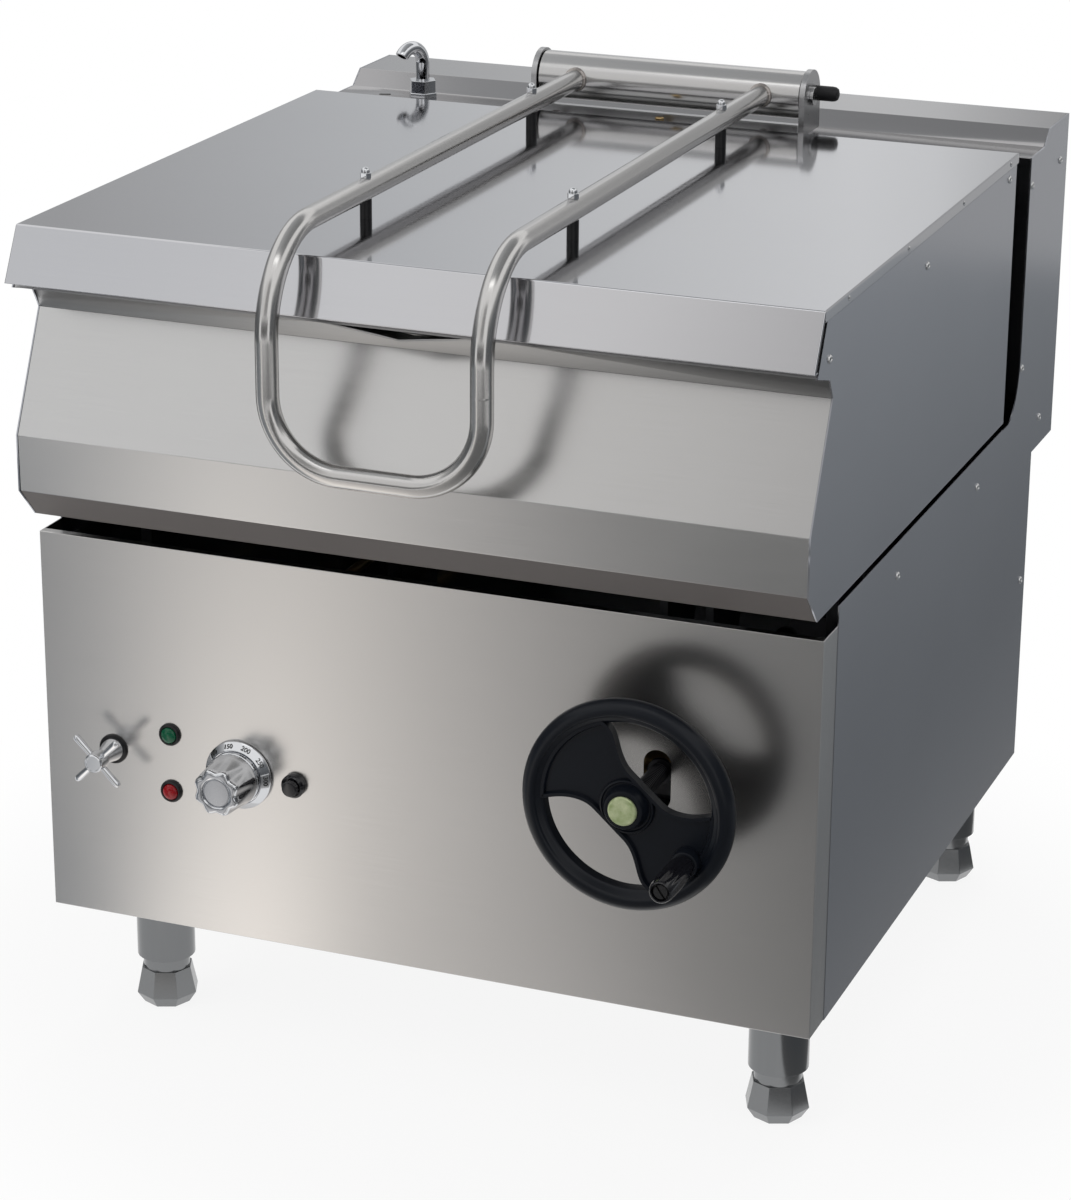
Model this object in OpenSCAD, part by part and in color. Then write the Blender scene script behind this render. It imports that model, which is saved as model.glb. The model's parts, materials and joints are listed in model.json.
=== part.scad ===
// Tilting bratt pan on a cabinet base: a deep pan with a hinged lid tips forward when the handwheel
// drives a threaded spindle. Lengths are in millimetres, +Z is up and the controls face -Y.
// Front-to-back places count from the face of the front panel, and frame_y then centres the whole.

/* [Cabinet] */
// Width over the side panels
body_w = 800; // [760:1:860]
// Thickness of the outer sheets
sheet_t = 1.5; // [1:0.1:2]
// Height of the cabinet's underside above the floor
base_low = 146; // [120:1:180]
// Height of the cabinet's side panels
base_h = 417; // [400:1:460]
// Drop of the front panel's top edge below the side panels'
front_drop = 19; // [15:1:29]
// Depth of the front panel's folded sides
return_d = 43.5; // [30:0.5:60]
// How much narrower the front panel is than the body, in all
front_less = 1; // [0:0.5:3]
// Depth of the front panel's top fold
fold_d = 9; // [6:1:9]
// Depth of the front panel's bottom fold
bottom_fold_d = 20; // [12:1:30]

/* [Rear column] */
// Gap between the pan's back and the front edge of the ledge
ledge_gap = 49; // [39:1:59]
// Drop of the ledge below the top edge of the pan's side covers
ledge_drop = 3.5; // [2.5:0.1:8.5]
// Width of the ledge from front to back
ledge_w = 57; // [45:1:60]
// Run of the sloped riser from front to back
riser_w = 20; // [10:1:24]
// Height of the column's flat top above the ledge
riser_h = 16; // [9:1:29]
// Distance of the low back panel behind the front edge of the ledge
base_behind = 72; // [65:1:110]
// Overhang of the column behind the low back panel
overhang_d = 88; // [73:1:118]
// Height of the overhang above the cabinet's underside
overhang_h = 354; // [324:1:384]
// Distance from the pan's cover to the column at the bottom of the gap
gap_low = 8; // [7:0.5:12]
// Radius of the curve at the bottom of the gap
gap_curve_r = 70; // [40:1:90]

/* [Frame] */
// Width of the rail round the cabinet floor
rail_w = 30; // [24:1:36]
// Height of that rail
rail_h = 40; // [30:1:50]
// Wall of that rail
rail_t = 2; // [1.5:0.1:3]

/* [Feet] */
// Distance of a leg's centre from the cabinet's side
leg_in = 65; // [50:1:100]
// Depth of the front legs' centre
leg_front_d = 114; // [70:1:130]
// Distance of a rear leg's centre from the low back panel
leg_back_in = 31; // [31:1:62]
// Radius of a leg tube
leg_r = 30; // [25:0.5:31]
// Wall of a leg tube
leg_t = 1.5; // [1:0.1:3]
// Height of a leg tube's lower end
leg_low = 54; // [46:1:70]
// Radius of a foot's neck
neck_r = 27; // [20:0.5:27.5]
// Height of the foot's eight-sided shoulder
foot_shoulder_z = 40; // [30:1:42]
// Widest radius of the eight-sided foot
foot_r = 33; // [30:0.5:36]
// Radius of the foot's sole
sole_r = 25; // [20:0.5:28]
// Height of the widest part of the foot
foot_wide_z = 12; // [8:1:20]
// Radius of the foot's threaded stem
stem_r = 10; // [8:0.5:12]
// Height of the stem's upper end
stem_top = 115; // [100:1:118]
// Thickness of the threaded disc inside the leg
disc_t = 8; // [5:0.5:12]

/* [Tilting pan] */
// Depth of the tilting axis
tilt_d = 60; // [56:1:62]
// Height of the tilting axis above the side covers' bottom edge
tilt_h = 82; // [80:1:86]
// Gap between the pan's side cover and the side panel's outer face
cover_in = 3.5; // [2.5:0.1:5]
// Depth of the pan's back
pan_back_d = 641; // [630:1:660]
// Gap between the cabinet's side panels and the side covers above them
cover_gap = 5; // [3.5:0.5:11]
// Height of the side covers
cover_h = 276.5; // [270:0.5:290]
// How far the casing's front reaches forward
casing_out = 41; // [35:0.5:42]
// Height of the casing's lower bend above the side covers' bottom edge
bend_h = 30; // [24:1:42]
// Height of the casing's front face between its two bends
face_h = 56; // [45:1:67]
// How far the casing's bottom edge reaches forward
casing_foot_out = 13; // [8:0.5:16]
// Depth of the casing's bottom fold
casing_fold_d = 32; // [25:1:36]
// Depth of the casing's top edge
casing_top_d = 11; // [8:0.5:16]
// Drop of the casing's top edge below the rim
casing_drop = 73; // [66:1:81]

/* [Pan tub] */
// Distance from the cabinet's side to the inside of the tub
tub_in = 65; // [63:1:100]
// Depth of the tub's floor at the front
tub_front_d = 84; // [70:1:100]
// Distance from the inside of the tub's back wall to the pan's back
tub_back_in = 45; // [41:1:81]
// Height of the tub's cooking surface above the side covers' bottom edge
floor_h = 44; // [32:1:57]
// Wall of the tub
tub_t = 3; // [2:0.5:4]
// Thickness of the tub's heavy bottom
tub_floor_t = 12; // [8:1:14]
// Drop of the tub's rim below the side covers' top edge
rim_drop = 3.5; // [2.5:0.5:6.5]
// Thickness of the rim
rim_t = 2; // [1.5:0.1:2.5]
// How far the rim's nose reaches forward
nose_out = 36; // [30:0.5:37]
// Drop of the rim's nose below the rim
nose_drop = 43; // [41:0.5:45]
// Drop of the front wall's top below the nose
throat_drop = 9; // [8:0.5:13]
// Half the width of the pouring lip
spout_half_w = 76; // [50:1:90]
// How far the pouring lip drops below the nose
spout_drop = 11; // [6:0.5:12]

/* [Lid] */
// Distance from the cabinet's side to the lid's edge
lid_in = 2.5; // [1.5:0.25:3.25]
// Height of the lid's top above the side covers' top edge
lid_h = 11.5; // [9:0.5:14]
// How far the lid reaches behind the pan's back
lid_behind = 3; // [1:0.5:7]
// How far the lid's top reaches forward
lid_out = 23; // [20:0.5:26]
// How far the lid's skirt reaches forward
skirt_out = 50; // [49:0.5:52]
// Drop of the skirt's lower edge below the lid's top
skirt_drop = 51.5; // [50:0.5:53]
// Width of the skirt's folded lower edge
skirt_fold_w = 9; // [5:0.5:10]
// Gap between the side covers and the lid's hems above them
hem_gap = 1; // [0.5:0.1:2]

/* [Lid hinge] */
// Distance of the hinge axis behind the lid
hinge_behind = 61; // [58:1:64]
// Radius of the hinge tube
hinge_r = 25.5; // [22:0.5:28]
// Wall of the hinge tube
hinge_t = 2; // [1.5:0.1:3]
// Half the length of the hinge tube
hinge_half = 148; // [146:1:156]
// Gap between the hinge tube and an end plate
hinge_gap = 1.2; // [0.5:0.1:2]
// Thickness of an end plate
ear_t = 6; // [4:0.5:8]
// How far an end plate's round top reaches past the tube
ear_over = 2.5; // [1:0.5:5]
// Distance of the hinge bar's front face behind the lid
bar_behind = 28; // [24:0.5:30]
// How far the hinge bar stands above the lid's top
bar_over = 0.5; // [0:0.1:1]
// Gap between the hinge bar and the tube above it
tube_gap = 1; // [0.5:0.1:3]
// Thickness of the hinge bracket's plates
bar_t = 4; // [3:0.5:5]
// Radius of a hinge pin
hinge_pin_r = 8; // [6:0.5:10]
// Length of a hinge pin inside the tube
hinge_pin_l = 34; // [20:1:50]
// Radius of a hinge pin's head
hinge_head_r = 10; // [9:0.5:13]
// Thickness of a hinge pin's head
hinge_head_t = 3.5; // [2:0.5:5]
// Distance of the outer hinge bolts from the middle
hinge_bolt_x = 118; // [100:1:130]
// Radius of the round buffer beside the hinge
buffer_r = 8; // [5:0.5:9]
// Length of that buffer
buffer_l = 24; // [15:1:30]

/* [Lid handle] */
// Radius of the handle tube
handle_r = 10.8; // [8:0.1:12]
// Wall of the handle tube
handle_t = 1.5; // [1:0.1:2]
// Distance of a handle arm from the middle
arm_x = 105; // [90:1:115]
// Height of the handle arms above the hinge axis
arm_up = 1; // [0:0.5:2]
// How far the handle's front reaches forward
handle_out = 92; // [90:0.5:95]
// Radius of the bend from arm to leg
arm_bend_r = 93; // [80:1:100]
// Drop of the handle's lowest stretch below the arms
handle_drop = 212; // [194:1:216]
// Radius of the bends at the handle's foot
foot_bend_r = 70; // [50:1:80]
// Depth of the front posts
post_front_d = 128; // [110:1:160]
// Distance of the rear posts from the pan's back
post_back_in = 89; // [61:1:141]
// Radius of a post's black sleeve
sleeve_r = 5.8; // [4.5:0.1:7]
// Width across flats of a dome nut
dome_af = 10; // [8:0.5:12]
// Height of a dome nut
dome_h = 11; // [9:0.5:13]

/* [Tilting gear] */
// Distance of the handwheel's axis from the cabinet's side
wheel_in = 156.5; // [150:0.5:175]
// Drop of the handwheel's axis below the side panels' top edge
spindle_drop = 173; // [167:1:183]
// Depth of the swinging block's axis
block_d = 26; // [25:0.5:28]
// Radius of the spindle
spindle_r = 9; // [7:0.5:10]
// Running clearance round shafts and pins
run_gap = 0.06; // [0.03:0.01:0.08]
// Radius of the swinging block
block_r = 14; // [13:0.5:15]
// Radius of the spindle's collars
collar_r = 12.5; // [11:0.5:13]
// Thickness of a collar
collar_t = 6; // [4:0.5:7]
// Radius of the block's and the nut's pivots
pivot_r = 7; // [5:0.5:8]
// Radius of the spindle nut
nut_r = 16; // [14:0.5:18]
// Half the width of the block and of the nut
block_half = 18; // [16:0.5:20]
// Side clearance of the block and of the nut
side_gap = 0.5; // [0.3:0.1:1]
// Thickness of the ears that carry the block and the nut
gear_ear_t = 8; // [5:0.5:10]
// Width of those ears
gear_ear_w = 40; // [32:1:44]
// Length of the spindle behind the block's axis
spindle_back = 366; // [358:1:400]
// Width of the slot in the front panel
slot_w = 27; // [26.5:0.5:32]
// Height of the slot in the front panel
slot_h = 60; // [54:1:70]
// Drop of the slot's centre below the handwheel's axis
slot_drop = 6; // [3:0.5:8]

/* [Handwheel] */
// Distance of the rim's plane in front of the panel
wheel_out = 78; // [76:1:90]
// Outer radius of the handwheel
wheel_r = 103; // [90:1:104]
// Radius of the rim's section
rim_r = 11; // [8:0.5:12]
// Radius of the hub
hub_r = 26; // [20:0.5:30]
// Length of the hub
hub_l = 30; // [24:1:34]
// Half the width of the web at the hub
web_half = 27; // [18:1:28]
// Thickness of the web
web_t = 9; // [6:0.5:12]
// Radius of the web's hollow sides
web_curve_r = 120; // [90:1:160]
// Radius of the hub cap
cap_r = 14; // [10:0.5:16]
// Thickness of the hub cap
cap_t = 3; // [2:0.5:4]
// Distance of the grip from the wheel's axis
grip_at = 74; // [66:1:80]
// Radius of the grip
grip_r = 12.5; // [10:0.5:14]
// Length of the grip
grip_l = 64; // [50:1:80]
// Length of the boss that carries the grip
boss_l = 14; // [8:1:16]
// Radius of the grip's pin
grip_pin_r = 4; // [3:0.5:5]

/* [Pivots] */
// Radius of the tilting pins
pin_r = 12; // [10:0.5:14]
// Wall of the pivot bushes
bush_t = 3; // [2:0.5:4]
// Thickness of the pivot brackets
bracket_t = 12; // [8:1:14]
// Gap between the tub's side wall and a pivot bracket
bracket_gap = 18; // [14:1:24]
// Half the height of the pivot bracket's arm
bracket_half = 26; // [20:1:28]
// Depth of the pivot bracket's upright
bracket_d = 150; // [145:1:180]
// Width of the pivot bracket's upright
bracket_w = 60; // [40:1:80]

/* [Controls] */
// Distance of the water valve from the cabinet's side
valve_in = 74; // [60:1:90]
// Height of the water valve above the cabinet's underside
valve_up = 180; // [164:1:194]
// Distance from the water valve to the lamps
lamp_pitch = 63; // [45:1:75]
// Height of the lower lamp above the cabinet's underside
lamp_up = 145; // [139:1:153]
// Height of the upper lamp above the lower one
lamp_rise = 60; // [49:1:69]
// Distance from the lamps to the thermostat knob
knob_pitch = 75; // [68:1:90]
// Height of the thermostat knob above the cabinet's underside
knob_up = 175; // [164:1:184]
// Distance from the thermostat knob to the push button
button_pitch = 59; // [53:1:70]
// Height of the push button above the cabinet's underside
button_up = 173; // [164:1:184]
// Radius of the valve's stem housing
valve_r = 11; // [8:0.5:14]
// Length of the valve's stem housing
valve_neck_l = 24; // [15:1:30]
// Radius of the cross handle's hub
cross_hub_r = 10; // [8:0.5:12]
// Reach of a cross handle's arm
cross_reach = 33; // [25:1:40]
// Radius of a cross handle's arm
cross_arm_r = 3.6; // [2.5:0.1:5]
// Length of the cross handle's hub
cross_hub_l = 20; // [14:1:26]
// Radius of a lamp's bezel
bezel_r = 11.5; // [10:0.5:13]
// Radius of a lamp's lens
lens_r = 9; // [7:0.5:9.5]
// Radius of the knob's dial
dial_r = 35; // [30:0.5:40]
// Depth of the knob's dial
dial_l = 15; // [10:0.5:20]
// Radius of the knob
knob_r = 27; // [22:0.5:29]
// Length of the knob
knob_l = 38; // [28:1:44]
// Number of hollows round the knob
knob_lobes = 8; // [6:1:10]
// Radius of the push button's collar
collar_button_r = 12; // [10.5:0.5:14]
// Radius of the push button
button_r = 8.5; // [6:0.5:9.5]
// Travel of the push button
button_travel = 4; // [2:0.5:5]

/* [Tap] */
// Distance of the tap from the cabinet's side
tap_side = 95.5; // [80:0.5:120]
// Distance of the tap behind the ledge's front edge
tap_in = 36; // [30:0.5:38]
// Width across flats of the tap's nut
tap_af = 27; // [22:0.5:30]
// Height of the tap's thin nut
thin_nut_h = 4.5; // [3:0.5:6]
// Height of the tap's main nut
main_nut_h = 14; // [10:0.5:18]
// Radius of the tap's spout
spout_r = 7.5; // [6:0.5:9]
// Bore of the spout's tube
spout_bore_r = 5.5; // [4:0.5:6]
// Radius of the spout's bend
spout_bend_r = 18.5; // [15:0.5:24]
// Height of the spout's straight stem above the nut
spout_rise = 19; // [12:0.5:26]
// Sweep of the spout's bend
spout_sweep = 142; // [120:1:170]
// Turn of the spout away from straight ahead
spout_turn = 20; // [0:1:40]

/* [Fasteners] */
// Radius of a sheet screw's head
screw_head_r = 4.2; // [3:0.1:5]
// Height of a sheet screw's head
screw_head_h = 2; // [1:0.1:2.4]
// Radius of a sheet screw's shank
screw_r = 2; // [1.5:0.1:2.5]
// Length of a sheet screw's shank
screw_l = 8; // [5:0.5:12]
// Clearance of screws, pins and sheets that don't move
fit_gap = 0.2; // [0.1:0.05:0.3]

/* [Hidden] */
$fn = 48;

// One length by which every cut runs past the face that it opens
over = 1;

// Widths: half sizes and distances from the middle
body_half = body_w / 2;
in_half = body_half - sheet_t;
front_half = body_half - front_less / 2;
frame_half = front_half - sheet_t;
cover_half = body_half - cover_in;
casing_half = cover_half - sheet_t;
tub_w = body_w - 2 * tub_in;
lid_w = body_w - 2 * lid_in;
leg_x = body_half - leg_in;
bracket_x = tub_w / 2 + tub_t + bracket_gap;
wheel_x = body_half - wheel_in;
valve_x = body_half - valve_in;
lamp_x = valve_x - lamp_pitch;
knob_x = lamp_x - knob_pitch;
button_x = knob_x - button_pitch;
tap_x = body_half - tap_side;

// Heights above the floor, from the cabinet up to the lid
side_top = base_low + base_h;
front_top = side_top - front_drop;
tray_top = base_low + sheet_t;
rail_top = tray_top + rail_h;
spindle_z = side_top - spindle_drop;
cover_low = side_top + cover_gap;
cover_top = cover_low + cover_h;
tilt_z = cover_low + tilt_h;
bend_low_z = cover_low + bend_h;
bend_high_z = bend_low_z + face_h;
tub_floor_z = cover_low + floor_h;
rim_z = cover_top - rim_drop;
casing_top_z = rim_z - casing_drop;
nose_z = rim_z - nose_drop;
throat_z = nose_z - throat_drop;
lid_z = cover_top + lid_h;
skirt_low_z = lid_z - skirt_drop;
hem_h = lid_h - hem_gap;
bar_top_z = lid_z + bar_over;
hinge_z = bar_top_z + tube_gap + hinge_r;
arm_z = hinge_z + arm_up;
handle_low_z = arm_z - handle_drop;
column_low = base_low + overhang_h;
ledge_z = cover_top - ledge_drop;
top_z = ledge_z + riser_h;
valve_z = base_low + valve_up;
lamp_low_z = base_low + lamp_up;
lamp_high_z = lamp_low_z + lamp_rise;
knob_z = base_low + knob_up;
button_z = base_low + button_up;

// Depths behind the front panel's face
ledge_d = pan_back_d + ledge_gap;
riser_d = ledge_d + ledge_w;
flat_d = riser_d + riser_w;
base_d = ledge_d + base_behind;
base_in_d = base_d - sheet_t;
back_d = base_d + overhang_d;
leg_back_d = base_d - leg_back_in;
tub_back_d = pan_back_d - tub_back_in;
lid_back_d = pan_back_d + lid_behind;
bar_d = lid_back_d + bar_behind;
hinge_d = lid_back_d + hinge_behind;
ear_r = hinge_r + ear_over;
post_back_d = pan_back_d - post_back_in;
nut_d = 2 * tilt_d - block_d;
hub_front = wheel_out + hub_l / 2;
grip_back = wheel_out + boss_l / 2;
front_reach = grip_back + boss_l / 2 + grip_l;
frame_y = (front_reach - back_d) / 2;

// Colours
steel = [0.72, 0.71, 0.69];
dark_steel = [0.45, 0.46, 0.5];
bright = [0.86, 0.86, 0.88];
black = [0.08, 0.08, 0.09];
zinc = [0.72, 0.78, 0.35];
brass = [0.75, 0.6, 0.3];
rubber = [0.1, 0.1, 0.1];
green = [0.05, 0.45, 0.2];
red = [0.7, 0.05, 0.05];

// Moves a piece from its place behind the front panel into the centred frame
module placed() {
    translate([0, frame_y, 0])
        children();
}

// A sheet whose outline lies in the Y-Z plane, from x on for the thickness t
module side_sheet(x, t, outline) {
    translate([x, 0, 0])
        rotate([90, 0, 90])
            linear_extrude(t)
                polygon(outline);
}

// A round bar along X
module bar_x(x0, x1, d, z, r) {
    translate([x0, d, z])
        rotate([0, 90, 0])
            cylinder(h = x1 - x0, r = r);
}

// A round bar along Y
module bar_y(d0, d1, x, z, r) {
    translate([x, d0, z])
        rotate([-90, 0, 0])
            cylinder(h = d1 - d0, r = r);
}

// A block given by its lowest and highest corners
module block(low, high) {
    translate(low)
        cube(high - low);
}

// A round bar between any two points
module link(a, b, r) {
    v = b - a;
    l = norm(v);
    translate(a)
        rotate([0, acos(v[2] / l), atan2(v[1], v[0])])
            cylinder(h = l, r = r);
}

// A pipe through a list of points, with a ball at each corner
module pipe_run(points, r) {
    for (i = [1 : len(points) - 1])
        link(points[i - 1], points[i], r);
    for (i = [1 : len(points) - 2])
        translate(points[i])
            sphere(r = r);
}

// Both sides of the body, as the left one mirrored
module both_sides() {
    for (s = [-1, 1])
        scale([s, 1, 1])
            children();
}

// Width across corners, halved, of a hexagon of a width across flats
function hex_r(flats) = flats / sqrt(3);

// Screw places on the side panels, as shares of the depth and height of the base and of the column
base_screw_shares = [[0.31, 0.919], [0.694, 0.921], [0.974, 0.51]];
column_screw_shares = [[0.045, 0.911], [0.807, 0.915], [0.606, 0.097], [0.038, 0.33]];
base_screws = concat(
    [for (s = base_screw_shares) [base_d * s[0], base_low + base_h * s[1]]],
    [for (s = column_screw_shares)
        [ledge_d + (back_d - ledge_d) * s[0], column_low + (ledge_z - column_low) * s[1]]]);
// Screw places on the side covers, as shares of the pan's depth and the covers' height
cover_screw_shares = [[-0.007, 0.868], [0.48, 0.901], [0.956, 0.965]];
cover_screw_places = [
    for (s = cover_screw_shares) [pan_back_d * s[0], cover_low + cover_h * s[1]]
];

// A side panel with the rear column in one sheet, and a curve at the bottom of the gap
curve_steps = 6;
module side_panel(x) {
    gap_d = pan_back_d + gap_low;
    lean = ledge_d - gap_d;
    turns = [for (k = [0 : curve_steps]) k * 90 / curve_steps];
    curve = [for (a = turns) [gap_d + lean * sin(a), side_top + gap_curve_r * (1 - cos(a))]];
    difference() {
        side_sheet(x, sheet_t, concat(
            [[return_d, base_low], [base_d, base_low], [base_d, column_low]],
            [[back_d, column_low], [back_d, top_z], [flat_d, top_z], [riser_d, ledge_z]],
            [[ledge_d, ledge_z]],
            [for (k = [curve_steps : -1 : 0]) curve[k]],
            [[return_d, side_top]]));
        for (p = base_screws)
            bar_x(x - over, x + sheet_t + over, p[0], p[1], screw_r + fit_gap);
    }
}

module side_panel_right() {
    color(dark_steel)
        placed()
            side_panel(in_half);
}

module side_panel_left() {
    color(dark_steel)
        placed()
            side_panel(-body_half);
}

// The front panel is a shallow folded tray with every control's hole in it
module front_panel() {
    color(steel)
        placed()
            difference() {
                union() {
                    block([-front_half, 0, base_low], [front_half, sheet_t, front_top]);
                    for (s = [-front_half, front_half - sheet_t])
                        block([s, 0, base_low], [s + sheet_t, return_d - fit_gap, front_top]);
                    block([-front_half, 0, front_top - sheet_t], [front_half, fold_d, front_top]);
                    block([-front_half, 0, base_low], [front_half, bottom_fold_d, tray_top]);
                }
                for (h = panel_holes)
                    bar_y(-over, sheet_t + over, h[0], h[1], h[2]);
                for (s = [-1, 1])
                    bar_y(-over, sheet_t + over, wheel_x, slot_z + s * slot_rise, slot_w / 2);
                block(
                    [wheel_x - slot_w / 2, -over, slot_z - slot_rise],
                    [wheel_x + slot_w / 2, sheet_t + over, slot_z + slot_rise]);
            }
}
slot_z = spindle_z - slot_drop;
slot_rise = (slot_h - slot_w) / 2;
shaft_hole_r = 6;
lamp_neck_share = 0.9;
lamp_neck_r = lens_r * lamp_neck_share;
button_neck_r = button_r + fit_gap + sheet_t;
panel_holes = [
    [-valve_x, valve_z, valve_r + fit_gap],
    [-lamp_x, lamp_low_z, lamp_neck_r + fit_gap],
    [-lamp_x, lamp_high_z, lamp_neck_r + fit_gap],
    [-knob_x, knob_z, shaft_hole_r + fit_gap],
    [-button_x, button_z, button_neck_r + fit_gap]
];

// The cable gland and the water inlet behind the base: place, height above the underside, radii
gland_in = 160;
gland_up = 64;
gland_r = 10;
gland_bore_r = 6;
inlet_up = 84;
inlet_r = 10.48;
inlet_l = 20.96;
pipe_r = 6;
gland_x = body_half - gland_in;
gland_z = base_low + gland_up;
inlet_z = base_low + inlet_up;
module back_panel() {
    color(dark_steel)
        placed()
            difference() {
                block([-in_half, base_in_d, base_low], [in_half, base_d, column_low]);
                bar_y(base_in_d - over, base_d + over, gland_x, gland_z, gland_r + fit_gap);
                bar_y(base_in_d - over, base_d + over, -valve_x, inlet_z, pipe_r + fit_gap);
            }
}

module floor_tray() {
    color(steel)
        placed()
            block([-frame_half, bottom_fold_d, base_low], [frame_half, base_in_d, tray_top]);
}

// One folded sheet: the wall behind the pan, the ledge, the riser and the column's flat top
module column_cover() {
    color(steel)
        placed()
            difference() {
                side_sheet(-in_half, 2 * in_half, [
                    [ledge_d, column_low], [ledge_d + sheet_t, column_low],
                    [ledge_d + sheet_t, ledge_z - sheet_t], [riser_d + sheet_t / 2, ledge_z - sheet_t],
                    [flat_d + sheet_t / 2, top_z - sheet_t], [back_d - sheet_t, top_z - sheet_t],
                    [back_d - sheet_t, top_z], [flat_d, top_z], [riser_d, ledge_z], [ledge_d, ledge_z]
                ]);
                translate([-tap_x, ledge_d + tap_in, ledge_z - rail_h])
                    cylinder(h = 2 * rail_h, r = tap_neck_r + fit_gap);
            }
}
tap_neck_r = spout_r + sheet_t;

// The column's back and its overhanging underside, with rows of air slots
vent_rows = 6;
vent_columns = 4;
vent_w = 60;
vent_h = 5;
vent_pitch = 14;
vent_drop = 70;
module column_back() {
    color(dark_steel)
        placed()
            difference() {
                union() {
                    block([-in_half, back_d - sheet_t, column_low], [in_half, back_d, top_z]);
                    block([-in_half, base_d, column_low], [in_half, back_d, column_low + sheet_t]);
                }
                for (j = [0 : vent_columns - 1], k = [0 : vent_rows - 1])
                    translate([
                        (j - (vent_columns - 1) / 2) * 2 * vent_w - vent_w / 2,
                        back_d - sheet_t - over,
                        top_z - vent_drop - vent_pitch * k
                    ])
                        cube([vent_w, sheet_t + 2 * over, vent_h]);
            }
}

// Rails round the cabinet floor, open at the top, with corner uprights and the rest posts
upright_top = column_low - rail_t;
module base_frame() {
    y0 = sheet_t + fit_gap;
    y1 = base_in_d;
    post_top = cover_low - pad_gap - pad_h;
    color(dark_steel)
        placed() {
            difference() {
                block([-frame_half, y0, tray_top], [frame_half, y1, rail_top]);
                block(
                    [rail_w - frame_half, y0 + rail_w, tray_top - over],
                    [frame_half - rail_w, y1 - rail_w, rail_top + over]);
                difference() {
                    block(
                        [rail_t - frame_half, y0 + rail_t, tray_top + rail_t],
                        [frame_half - rail_t, y1 - rail_t, rail_top + over]);
                    block(
                        [rail_w - rail_t - frame_half, y0 + rail_w - rail_t, tray_top],
                        [frame_half - rail_w + rail_t, y1 - rail_w + rail_t, rail_top + 2 * over]);
                }
            }
            block(
                [rail_w - frame_half, pad_d - pad_half, tray_top],
                [frame_half - rail_w, pad_d + pad_half, tray_top + rail_w / 2]);
            both_sides() {
                block(
                    [pad_x - pad_half, pad_d - pad_half, tray_top],
                    [pad_x + pad_half, pad_d + pad_half, post_top]);
                difference() {
                    union() {
                        block(
                            [frame_half - rail_w, y1 - rail_t, rail_top - rail_h / 2],
                            [frame_half, y1, upright_top]);
                        block(
                            [frame_half - rail_t, y1 - rail_w, rail_top - rail_h / 2],
                            [frame_half, y1, upright_top]);
                        block(
                            [frame_half - rail_t, return_d + sheet_t, rail_top - rail_h / 2],
                            [frame_half, return_d + rail_w, side_top - rail_h]);
                    }
                    for (p = base_screws)
                        bar_x(body_half - screw_l - over, body_half, p[0], p[1], screw_r + fit_gap);
                }
            }
        }
}

leg_places = [
    [-leg_x, leg_front_d], [leg_x, leg_front_d], [-leg_x, leg_back_d], [leg_x, leg_back_d]
];
module leg_tubes() {
    color(dark_steel)
        placed()
            for (p = leg_places)
                translate([p[0], p[1], 0]) {
                    difference() {
                        translate([0, 0, leg_low])
                            cylinder(h = base_low - leg_low, r = leg_r);
                        translate([0, 0, leg_low - over])
                            cylinder(h = base_low - leg_low - leg_t + over, r = leg_r - leg_t);
                    }
                    difference() {
                        translate([0, 0, leg_low + disc_t])
                            cylinder(h = disc_t, r = leg_r - leg_t);
                        translate([0, 0, leg_low + disc_t - over])
                            cylinder(h = disc_t + 2 * over, r = stem_r + run_gap);
                    }
                }
}

// An adjustable foot: an eight-sided tip with a neck and a threaded stem
module foot(p) {
    translate([p[0], p[1], 0]) {
        cylinder(h = foot_wide_z, r1 = sole_r, r2 = foot_r, $fn = 8);
        translate([0, 0, foot_wide_z])
            cylinder(h = foot_shoulder_z - foot_wide_z, r1 = foot_r, r2 = neck_r, $fn = 8);
        translate([0, 0, foot_shoulder_z - sheet_t])
            cylinder(h = leg_low - foot_shoulder_z - fit_gap + sheet_t, r = neck_r - sheet_t * 2);
        translate([0, 0, foot_shoulder_z])
            cylinder(h = stem_top - foot_shoulder_z, r = stem_r);
    }
}

module foot_front_left() {
    color(dark_steel)
        placed()
            foot(leg_places[0]);
}

module foot_front_right() {
    color(dark_steel)
        placed()
            foot(leg_places[1]);
}

module foot_back_left() {
    color(dark_steel)
        placed()
            foot(leg_places[2]);
}

module foot_back_right() {
    color(dark_steel)
        placed()
            foot(leg_places[3]);
}

// Two cranked plates stand on the side rails and reach forward to the tilting axis
bush_r = pin_r + run_gap + bush_t;
module pivot_brackets() {
    arm_low = tilt_z - bracket_half;
    color(dark_steel)
        placed()
            both_sides()
                difference() {
                    union() {
                        block(
                            [bracket_x, bracket_d, rail_top],
                            [bracket_x + bracket_t, bracket_d + bracket_w, tilt_z + bracket_half]);
                        block(
                            [bracket_x, tilt_d, arm_low],
                            [bracket_x + bracket_t, bracket_d, tilt_z + bracket_half]);
                        bar_x(bracket_x, bracket_x + bracket_t, tilt_d, tilt_z, bracket_half);
                        block(
                            [bracket_x, bracket_d, rail_top],
                            [frame_half - rail_t, bracket_d + bracket_w, rail_top + bracket_t]);
                    }
                    bar_x(
                        bracket_x - over, bracket_x + bracket_t + over,
                        tilt_d, tilt_z, bush_r + fit_gap / 4);
                }
}

module pivot_bushes() {
    color(brass)
        placed()
            both_sides()
                difference() {
                    bar_x(bracket_x, bracket_x + bracket_t, tilt_d, tilt_z, bush_r);
                    bar_x(bracket_x - over, bracket_x + bracket_t + over, tilt_d, tilt_z, pin_r + run_gap);
                }
}

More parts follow.
